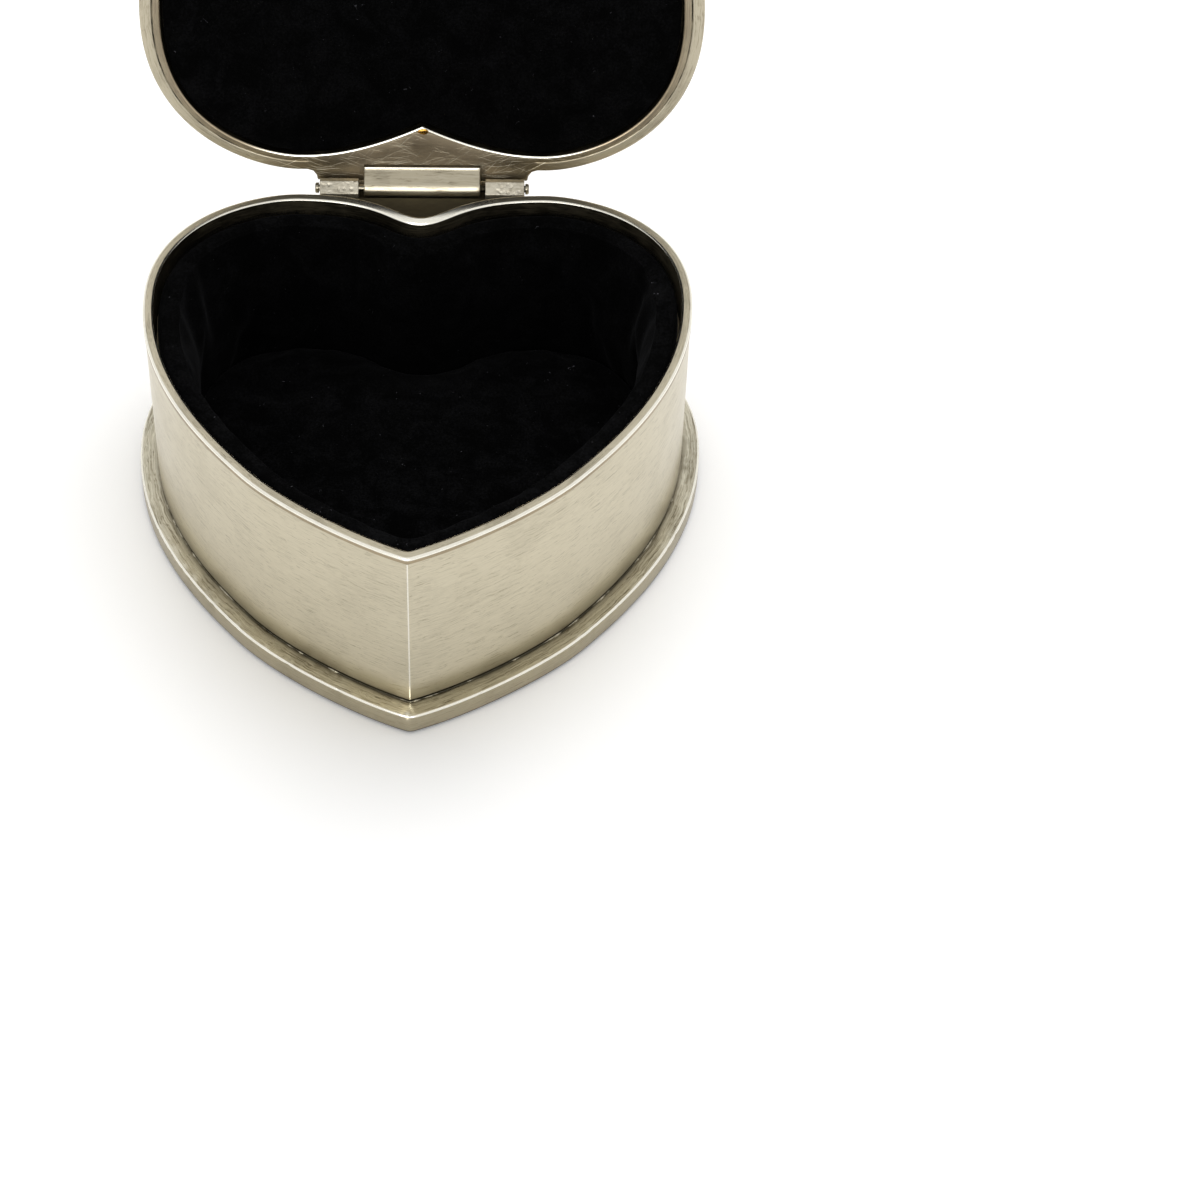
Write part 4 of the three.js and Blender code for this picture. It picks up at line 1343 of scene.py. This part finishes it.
def build_leaf():
    """Leaf soldered to the lid's web, rolled round the pin at its end."""
    hinges = sizes("hinge")
    knuckle = hinge_point.z - leaf_low.z
    middle, axis = hinge_point.y, hinge_point.z
    front = leaf_low.y + hinges.leaf_set_back
    solder_gap = 0.02 * MM
    over = shell_low.z - solder_gap
    under = over - hinges.leaf_proud
    # The plate thickens towards the knuckle and meets it in a fillet
    barrel = knuckle - 0.1 * MM
    join = math.radians(270) - hinges.leaf_join
    roll_end, roll_steps = math.radians(410), 44
    meets = (middle + barrel * math.cos(join), axis + barrel * math.sin(join))
    slope, steep = math.tan(hinges.leaf_slope), math.tan(hinges.leaf_join)
    bend = (meets[1] - under + steep * meets[0] - slope * front) / (steep - slope)
    turns = np.linspace(join, roll_end, roll_steps)
    knuckle_part = [(middle + barrel * math.cos(turn), axis + barrel * math.sin(turn)) for turn in turns]
    plate = rounded([
        (knuckle_part[-1][0], knuckle_part[-1][1], 0, 0),
        (middle + barrel * 0.6, over, 0.3 * MM, 0),
        (front, over, 0.04 * MM, 0),
        (front, under, hinges.leaf_round, 0),
        (bend, under - slope * (bend - front), hinges.leaf_fillet, 0),
        (*meets, 0, 0),
    ])
    section = knuckle_part + [place[:2] for place in plate[1:-1]]
    names = ("polished_pewter_leaf", "painted_shade_pewter_inside", "burnish_and_highlight_edge")
    polished, stained, bright = range(len(names))
    materials = [finish(name) for name in names]
    section_gap = 0.5 * MM
    piece = bar(
        "hinge_leaf_finished", section, leaf_low.x, leaf_high.x, materials, hinges.edge_round, section_gap)
    # The plate's front end is painted dark as the shade against the web, and the edge below it burnished and
    # painted pale as a highlight
    for face in piece.data.polygons:
        face.material_index = polished
        if face.center.y < front + hinges.leaf_round and face.center.z < over - hinges.leaf_round:
            face.material_index = stained if face.center.z > under + hinges.leaf_round else bright
    shift_points(piece, sunk(0.02 * MM, size=2 * MM, seed=17))
    settle_open(piece, "pewter", "hinge_leaf")


# Lid

def tab_shares(outline):
    """For each point of the lid's outline, its share of the way along the tab's edge, or -1 off the tab."""
    lid = sizes("lid")
    limit = lid.tab_half_width + lid.tab_fillet
    on_tab = (np.abs(outline[:, 0]) < limit) & (outline[:, 1] > 0)
    places = np.flatnonzero(on_tab)
    run = walk_round(outline)[places]
    shares = np.full(len(outline), -1.0)
    shares[places] = (run - run[0]) / (run[-1] - run[0])
    return shares


def tab_edge(inset):
    """Edge of the web from the right lobe's back, round the fillets and along the hinge to the left's."""
    lid = sizes("lid")
    half, fillet = lid.tab_half_width - inset, lid.tab_fillet + inset
    lobe = wall_high.y + lid_reach() - inset
    back = hinge_point.y - inset
    corner, corner_steps, fillet_steps = 0.3 * MM, 5, 9
    turns = np.linspace(-math.pi / 2, -math.pi, fillet_steps)
    right = [(half + fillet + fillet * math.cos(turn), lobe + fillet + fillet * math.sin(turn))
             for turn in turns]
    if right[-1][1] > back - corner:
        right = [place for place in right if place[1] < back - corner] + [(half, back - corner)]
    right += [(half - corner * (1 - math.cos(turn)), back - corner * (1 - math.sin(turn)))
              for turn in np.linspace(0, math.pi / 2, corner_steps)[1:]]
    return np.array(right + [(-x, y) for x, y in reversed(right)])


def lid_reach():
    return shell_high.x - wall_high.x


def lid_outline(inset=0.0, tab=True, tab_inset=0.0):
    """Outer edge of the lid, with or without the web at the hinge."""
    lid = sizes("lid")
    outline = heart(lid_reach() - inset, lid.tip_radius)
    if not tab:
        return outline
    shares = tab_shares(heart(lid_reach(), lid.tip_radius))
    edge = tab_edge(inset + tab_inset)
    run = np.concatenate([[0], np.cumsum(np.linalg.norm(np.diff(edge, axis=0), axis=1))])
    run /= run[-1]
    on = shares >= 0
    outline[on] = np.stack([np.interp(shares[on], run, edge[:, axis]) for axis in (0, 1)], axis=1)
    return outline


def recess_outline(inset=0.0):
    """Edge of the recess: a wider border at the sides than at the back, and a pointed notch."""
    lid = sizes("lid")
    # How far behind the heart's middle the side's border starts to narrow, and over what distance
    side_until, narrowing = 12 * MM, 20 * MM
    # The notch's point moves in a little further than its sides do
    point_share = 1.1
    side = heart(lid_reach() - lid.border - inset, lid.tip_radius)
    back = heart(lid_reach() - lid.back_border - inset, lid.tip_radius)
    share = np.clip((side[:, 1] - side_until) / narrowing, 0, 1)
    share = (share * share * (3 - 2 * share))[:, None]
    outline = side * (1 - share) + back * share
    notch = (np.abs(outline[:, 0]) < lid.vee_half_width) & (outline[:, 1] > 0)
    join = outline[notch][0, 1]
    point = wall_high.y - lid.vee_depth - inset * point_share
    away = 1 - np.abs(outline[notch, 0]) / lid.vee_half_width
    outline[notch, 1] = join - (join - point) * np.maximum(away, 0) ** lid.vee_power
    return outline


def dome_curve():
    """The dome's side as shares of its shoulder's width and of its rise, from the lid's edge in."""
    return on_curve(np.array(dome_side_shares, float), np.linspace(0, 1, dome_side_steps)[:, None])


def dome_rise():
    """The dome's rise over the lid's edge, and the part of it that its crown takes up."""
    rise = shell_high.z - shell_low.z - sizes("lid").edge
    return rise, (1 - dome_side_shares[-1][1]) * rise


def crown(ring, top, fall):
    """Rings over the crown, from its edge to just before its middle."""
    return [drawn_in(ring, share, top - fall * share ** crown_power) for share in crown_shares]


def lid_inside():
    """Rings from inside the lid's crown, down its recess and round the recess's edge."""
    lid = sizes("lid")
    low = shell_low.z
    rise, fall = dome_rise()
    inner = []
    for into, up in dome_curve()[inner_side_from:]:
        outline = recess_outline(lid.ledge + into * (lid.shoulder - lid.border))
        inner.append(at_height(outline, low + lid.edge + up * rise - lid.wall))
    rings = [*reversed(crown(inner[-1], shell_high.z - lid.wall, fall)), *reversed(inner)]
    ledge = low + lid.recess
    recess = recess_outline()
    rings += [at_height(recess_outline(lid.ledge), ledge), at_height(recess, ledge)]
    rings += [at_height(recess, low + lid.recess * share) for share in (0.6, 0.3)]
    rings.append(at_height(recess, low + lid.inner_round))
    for turn in np.linspace(0, math.pi / 2, recess_round_steps)[1:]:
        into = lid.inner_round * (1 - math.cos(turn))
        rings.append(at_height(recess_outline(-into), low + lid.inner_round * (1 - math.sin(turn))))
    return rings


def lid_border(start):
    """Rings of the lid's flat border, from the recess's edge out, with the scribed line among them."""
    lid = sizes("lid")
    outer = lid_outline(lid.edge_round)
    on_web = tab_shares(heart(lid_reach(), lid.tip_radius)) >= 0
    width = lid.border - lid.edge_round - lid.inner_round
    groove = (lid.border - lid.groove_in - lid.inner_round) / width
    half = lid.groove_width / 2 / width
    # Shares of the border's width, and of the scribed line's depth
    shallow = 0.15
    profile = (
        (groove - 2 * half, 0), (groove - half, shallow), (groove, 1), (groove + half, shallow),
        (groove + 2 * half, 0), (0.7, 0), (0.9, 0))
    rings = []
    for share, deep in profile:
        ring = at_height(start * (1 - share) + outer * share, shell_low.z)
        ring[:, 2] += np.where(on_web, 0, deep * lid.groove_depth)
        rings.append(ring)
    return rings


def lid_edge():
    """Rings up the lid's upright edge. The last one is drawn in under the web's top edge."""
    lid = sizes("lid")
    low = shell_low.z
    web_bevel, under_dome = 0.2 * MM, 0.02 * MM
    rings = []
    for turn in np.linspace(0, math.pi / 2, edge_round_steps):
        inset = lid.edge_round * (1 - math.sin(turn))
        rings.append(at_height(lid_outline(inset), low + lid.edge_round * (1 - math.cos(turn))))
    rings.append(at_height(lid_outline(), low + lid.edge / 2))
    rings.append(at_height(lid_outline(), low + lid.edge - lid.edge_round / 2))
    rings.append(at_height(lid_outline(tab_inset=web_bevel), low + lid.edge - under_dome))
    return rings


def lid_rings():
    """Rings of the whole lid, from inside its crown to the top of its dome, and their kinds of metal."""
    lid = sizes("lid")
    rise, fall = dome_rise()
    inside = lid_inside()
    border = lid_border(inside[-1][:, :2])
    edge = lid_edge()
    dome = [at_height(lid_outline(into * lid.shoulder, tab=False), shell_low.z + lid.edge + up * rise)
            for into, up in dome_curve()]
    outside = [*dome, *crown(dome[-1], shell_high.z, fall)]
    # The lid's inside and recess walls are painted nearly black as shade, and the recess's edge is painted
    # pale as a highlight where it meets the web
    painted_shade, worn, inner_border, scribed, outer_border, top = range(len(lid_finishes))
    kinds = [painted_shade] * (len(inside) - recess_round_steps) + [worn] * (recess_round_steps - 1)
    kinds += [inner_border] * 2 + [scribed] * 2
    kinds += [outer_border] * (len(border) + len(edge) - 4) + [top] * len(outside)
    return [*inside, *border, *edge, *outside], kinds


def build_lid_shell():
    """Lid: border and recess below, low dome above, and a web that fills the cleft up to the hinge."""
    lid = sizes("lid")
    rings, kinds = lid_rings()
    centre = (0, drawn_in(rings[0], 0, 0)[0, 1])
    fans = ((*centre, shell_high.z - lid.wall), (*centre, shell_high.z))
    materials = [finish(name) for name in lid_finishes]
    walk = walk_round(heart(0, sizes("wall").wall_tip))
    piece = loft("lid_shell_finished", rings, materials, walk, fans=fans, kinds=kinds, crease=lid_crease)
    places = np.array([vertex.co for vertex in piece.data.vertices])
    web = np.clip((lid.web_fade_out - np.abs(places[:, 0])) / (lid.web_fade_out - lid.web_fade_in), 0, 1)
    set_polish(piece, web * web * (3 - 2 * web) * (places[:, 1] > 0))
    shift_points(piece, sunk(0.03 * MM, size=8 * MM, seed=29))
    settle_open(piece, "pewter", "lid_shell")
    dress_node("lid_card", "uncoated_greyboard")


def build_lid_pad():
    """Velvet panel of the lid, crowned towards the box, its edge tucked behind the border."""
    lining = sizes("lining")
    back, front = lid_pad_high.z, shell_low.z + 0.55 * MM
    # From the recess's edge in, and the height, from the panel's back to its front
    profile = (
        (0.35 * MM, back), (0.18 * MM, back - 0.4 * MM), (0.16 * MM, front + 0.6 * MM),
        (0.5 * MM, front + 0.2 * MM), (1.3 * MM, front))
    rings = [at_height(recess_outline(inset), height) for inset, height in profile]
    rim = rings[-1]
    crown_height = 0.25 * MM
    for share in (0.9, 0.75, 0.55, 0.35, 0.15):
        rings.append(drawn_in(rim, share, front - crown_height * (1 - share ** 2)))
    piece = loft("lid_pad_velvet", rings, [finish("black_cut_velvet")], crease=no_crease)
    # A thin panel needs smaller squares than the floor pad does
    remeshed(piece, lining.voxel * 0.7)
    held_back = back - 0.9 * MM
    swell(piece, lambda place: place[2] > held_back, pressure=1.2, growth=0.03, cap=lining.pad_cap / 2)
    relax(piece, 2)
    subdivided(piece)
    settle_open(piece, "velvet", "lid_pad")
    # Two fibres at each root, leaning out over the border and away from the panel
    fringe_in, fringe_width, fringe_height, forward = 0.35 * MM, 0.55 * MM, front + 0.35 * MM, -1.6
    outline = recess_outline(fringe_in)
    inward = recess_outline(fringe_width) - outline
    edge = at_height(outline + 0.5 * inward, fringe_height)
    roots = [(place, (-out[0] / MM, -out[1] / MM, forward)) for place, out in zip(edge, inward)]
    settle_open(fringe("lid_pad_pile", roots * 2, lean=0.6, seed=19), "velvet")


def build_speck():
    """Amber speck of flux below the point of the notch."""
    lid = sizes("lid")
    aside, below = 0.2 * MM, 0.75 * MM
    # Half its width, depth and thickness in millimetres, and how uneven it is
    wide, deep, thick = 0.8, 0.42, 0.12
    unevenness, lump_size = 0.3, 1.4
    editable = bmesh.new()
    bmesh.ops.create_icosphere(editable, subdivisions=3, radius=1)
    middle = Vector((aside, wall_high.y - lid.vee_depth + below, shell_low.z))
    for vertex in editable.verts:
        x, y, z = vertex.co
        lump = 1 + unevenness * noise.noise(vertex.co * lump_size)
        vertex.co = middle + Vector((x * wide * MM, y * deep * MM, z * thick * MM)) * lump
    mesh = bpy.data.meshes.new("flux_speck")
    editable.to_mesh(mesh)
    editable.free()
    mesh.shade_smooth()
    mesh.materials.append(finish("amber_flux"))
    piece = bpy.data.objects.new("flux_speck", mesh)
    bpy.context.scene.collection.objects.link(piece)
    settle_open(piece, "pewter")


# Stage

# The softboxes' places and widths, and the point that they are aimed at, in metres
key_place, key_width = (-0.12, -0.62, 0.46), 0.6
top_place, top_width = (0.06, 0.38, 0.75), 0.7
lamp_aim = Vector((0, 0, 0.03))


def shown_to(tree):
    """1 for rays from the camera, reflections and glass, and 0 for the light on other surfaces."""
    rays = add_node(tree, "ShaderNodeLightPath").outputs
    either = add_node(tree, "ShaderNodeMath", {"operation": "MAXIMUM"}, {
        0: rays["Is Camera Ray"], 1: rays["Is Glossy Ray"]})
    return add_node(tree, "ShaderNodeMath", {"operation": "MAXIMUM"}, {
        0: either.outputs[0], 1: rays["Is Transmission Ray"]}).outputs[0]


def add_lamp(name, place, size, power, seen_by):
    """A square softbox that points at the box. seen_by is the kind of surface that it lights."""
    lamp = bpy.data.lights.new(name, "AREA")
    lamp.shape = "SQUARE"
    lamp.size = size
    lamp.energy = power
    holder = bpy.data.objects.new(name, lamp)
    holder.location = place
    holder.rotation_euler = (lamp_aim - Vector(place)).to_track_quat("-Z", "Y").to_euler()
    holder.visible_glossy = seen_by == "glossy"
    holder.visible_diffuse = seen_by == "matt"
    bpy.context.scene.collection.objects.link(holder)


def build_floor():
    """Pale matt paper that keeps the box's shadow and goes to white away from it."""
    stage = sizes("stage")
    half = stage.floor / 2
    corners = [(-half, -half, 0), (half, -half, 0), (half, half, 0), (-half, half, 0)]
    material = bpy.data.materials.new("white_paper_floor")
    material.use_nodes = True
    tree = material.node_tree
    tree.nodes.clear()
    matt = add_node(tree, "ShaderNodeBsdfDiffuse", (), {"Color": hex_colour("#f7f7f7")})
    coordinates = add_node(tree, "ShaderNodeTexCoord").outputs["Object"]
    away = add_node(tree, "ShaderNodeVectorMath", {"operation": "LENGTH"}, {0: coordinates}).outputs["Value"]
    glow = add_node(tree, "ShaderNodeMapRange", {"interpolation_type": "SMOOTHSTEP"}, {
        "Value": away, "From Min": stage.glow_from, "From Max": stage.glow_to, "To Min": stage.glow,
        "To Max": stage.far_glow})
    strength = add_node(tree, "ShaderNodeMath", {"operation": "MULTIPLY"}, {
        0: shown_to(tree), 1: glow.outputs[0]})
    lift = add_node(tree, "ShaderNodeEmission", (), {
        "Color": hex_colour("#ffffff"), "Strength": strength.outputs[0]})
    both = add_node(tree, "ShaderNodeAddShader", (), {0: matt.outputs[0], 1: lift.outputs[0]})
    add_node(tree, "ShaderNodeOutputMaterial", (), {"Surface": both.outputs[0]})
    make_piece("floor", corners, [(0, 1, 2, 3)], materials=[material])


def build_world():
    """White all round, a little dimmer as light than as background."""
    world = bpy.data.worlds.new("white_room")
    world.use_nodes = True
    world.node_tree.nodes.clear()
    tree = world.node_tree
    strength = add_node(tree, "ShaderNodeMapRange", (), {
        "Value": shown_to(tree), "To Min": sizes("stage").world, "To Max": 1.0})
    room = add_node(tree, "ShaderNodeBackground", (), {
        "Color": hex_colour("#ffffff"), "Strength": strength.outputs[0]})
    add_node(tree, "ShaderNodeOutputWorld", (), {"Surface": room.outputs[0]})
    bpy.context.scene.world = world


def build_camera():
    """Camera at the photograph's view."""
    stage = sizes("stage")
    camera = bpy.data.cameras.new("camera")
    camera.lens = stage.lens
    camera.sensor_width = 36
    camera.shift_x = stage.shift
    camera.clip_start = 0.01
    holder = bpy.data.objects.new("camera", camera)
    place = Vector((0, stage.aim - stage.distance * math.cos(stage.elevation),
                    stage.distance * math.sin(stage.elevation)))
    facing = Matrix.Rotation(math.pi / 2 - stage.elevation, 4, "X") @ Matrix.Rotation(stage.roll, 4, "Z")
    holder.matrix_world = Matrix.Rotation(stage.azimuth, 4, "Z") @ Matrix.Translation(place) @ facing
    bpy.context.scene.collection.objects.link(holder)
    bpy.context.scene.camera = holder


def build_lamps():
    """A softbox behind the camera that only metal mirrors, and one behind the box for the floor's shadow."""
    stage = sizes("stage")
    add_lamp("key_lamp", key_place, key_width, stage.key, "glossy")
    add_lamp("top_lamp", top_place, top_width, stage.top, "matt")


def build_stage():
    build_camera()
    build_world()
    build_floor()
    build_lamps()
    bpy.context.scene.view_settings.view_transform = "Standard"


class BOX_OT_stage(bpy.types.Operator):
    """Make the camera, the light and the floor"""
    bl_idname = "keepsake_box.stage"
    bl_label = "Stage"

    def execute(self, context):
        build_stage()
        return {"FINISHED"}


class BOX_OT_wall(bpy.types.Operator):
    """Make the side wall with its rim, and the solder at its foot"""
    bl_idname = "keepsake_box.wall"
    bl_label = "Wall"

    def execute(self, context):
        build_wall()
        build_seam()
        return {"FINISHED"}


class BOX_OT_base(bpy.types.Operator):
    """Make the base plate with its flange, and the felt under it"""
    bl_idname = "keepsake_box.base"
    bl_label = "Base"

    def execute(self, context):
        build_base()
        build_felt()
        return {"FINISHED"}


class BOX_OT_linings(bpy.types.Operator):
    """Make the padded velvet inside the box"""
    bl_idname = "keepsake_box.linings"
    bl_label = "Linings"

    def execute(self, context):
        build_linings()
        return {"FINISHED"}


class BOX_OT_hinge(bpy.types.Operator):
    """Make the hinge's bracket, knuckles, pin and leaf"""
    bl_idname = "keepsake_box.hinge"
    bl_label = "Hinge"

    def execute(self, context):
        build_bracket()
        build_lugs()
        build_pin()
        build_leaf()
        return {"FINISHED"}


class BOX_OT_lid(bpy.types.Operator):
    """Make the lid with its border, web and velvet panel"""
    bl_idname = "keepsake_box.lid"
    bl_label = "Lid"

    def execute(self, context):
        build_lid_shell()
        build_lid_pad()
        build_speck()
        return {"FINISHED"}


operators = (BOX_OT_stage, BOX_OT_wall, BOX_OT_base, BOX_OT_linings, BOX_OT_hinge, BOX_OT_lid)
groups = {
    "outline": OutlineSizes,
    "wall": WallSizes,
    "base": BaseSizes,
    "lining": LiningSizes,
    "lid": LidSizes,
    "hinge": HingeSizes,
    "colours": FinishColours,
    "stage": StageSettings,
}


class BOX_PT_sidebar(bpy.types.Panel):
    """Sizes, colours and operators of the box"""
    bl_idname = "BOX_PT_sidebar"
    bl_label = "Keepsake Box"
    bl_space_type = "VIEW_3D"
    bl_region_type = "UI"
    bl_category = "Keepsake Box"

    def draw(self, context):
        for name in groups:
            box = self.layout.box()
            box.label(text=name.capitalize())
            group = sizes(name)
            for setting in group.bl_rna.properties:
                if setting.identifier not in ("rna_type", "name"):
                    box.prop(group, setting.identifier)
        for operator in operators:
            self.layout.operator(operator.bl_idname)


def register():
    for made in (*groups.values(), *operators, BOX_PT_sidebar):
        bpy.utils.register_class(made)
    for name, group in groups.items():
        setattr(bpy.types.Scene, "box_" + name, PointerProperty(type=group))


def unregister():
    for name in groups:
        delattr(bpy.types.Scene, "box_" + name)
    for made in reversed((*groups.values(), *operators, BOX_PT_sidebar)):
        bpy.utils.unregister_class(made)


def main():
    """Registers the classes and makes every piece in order."""
    register()
    bpy.ops.keepsake_box.stage()
    bpy.ops.keepsake_box.wall()
    bpy.ops.keepsake_box.base()
    bpy.ops.keepsake_box.linings()
    bpy.ops.keepsake_box.hinge()
    bpy.ops.keepsake_box.lid()


if __name__ == "__main__":
    main()
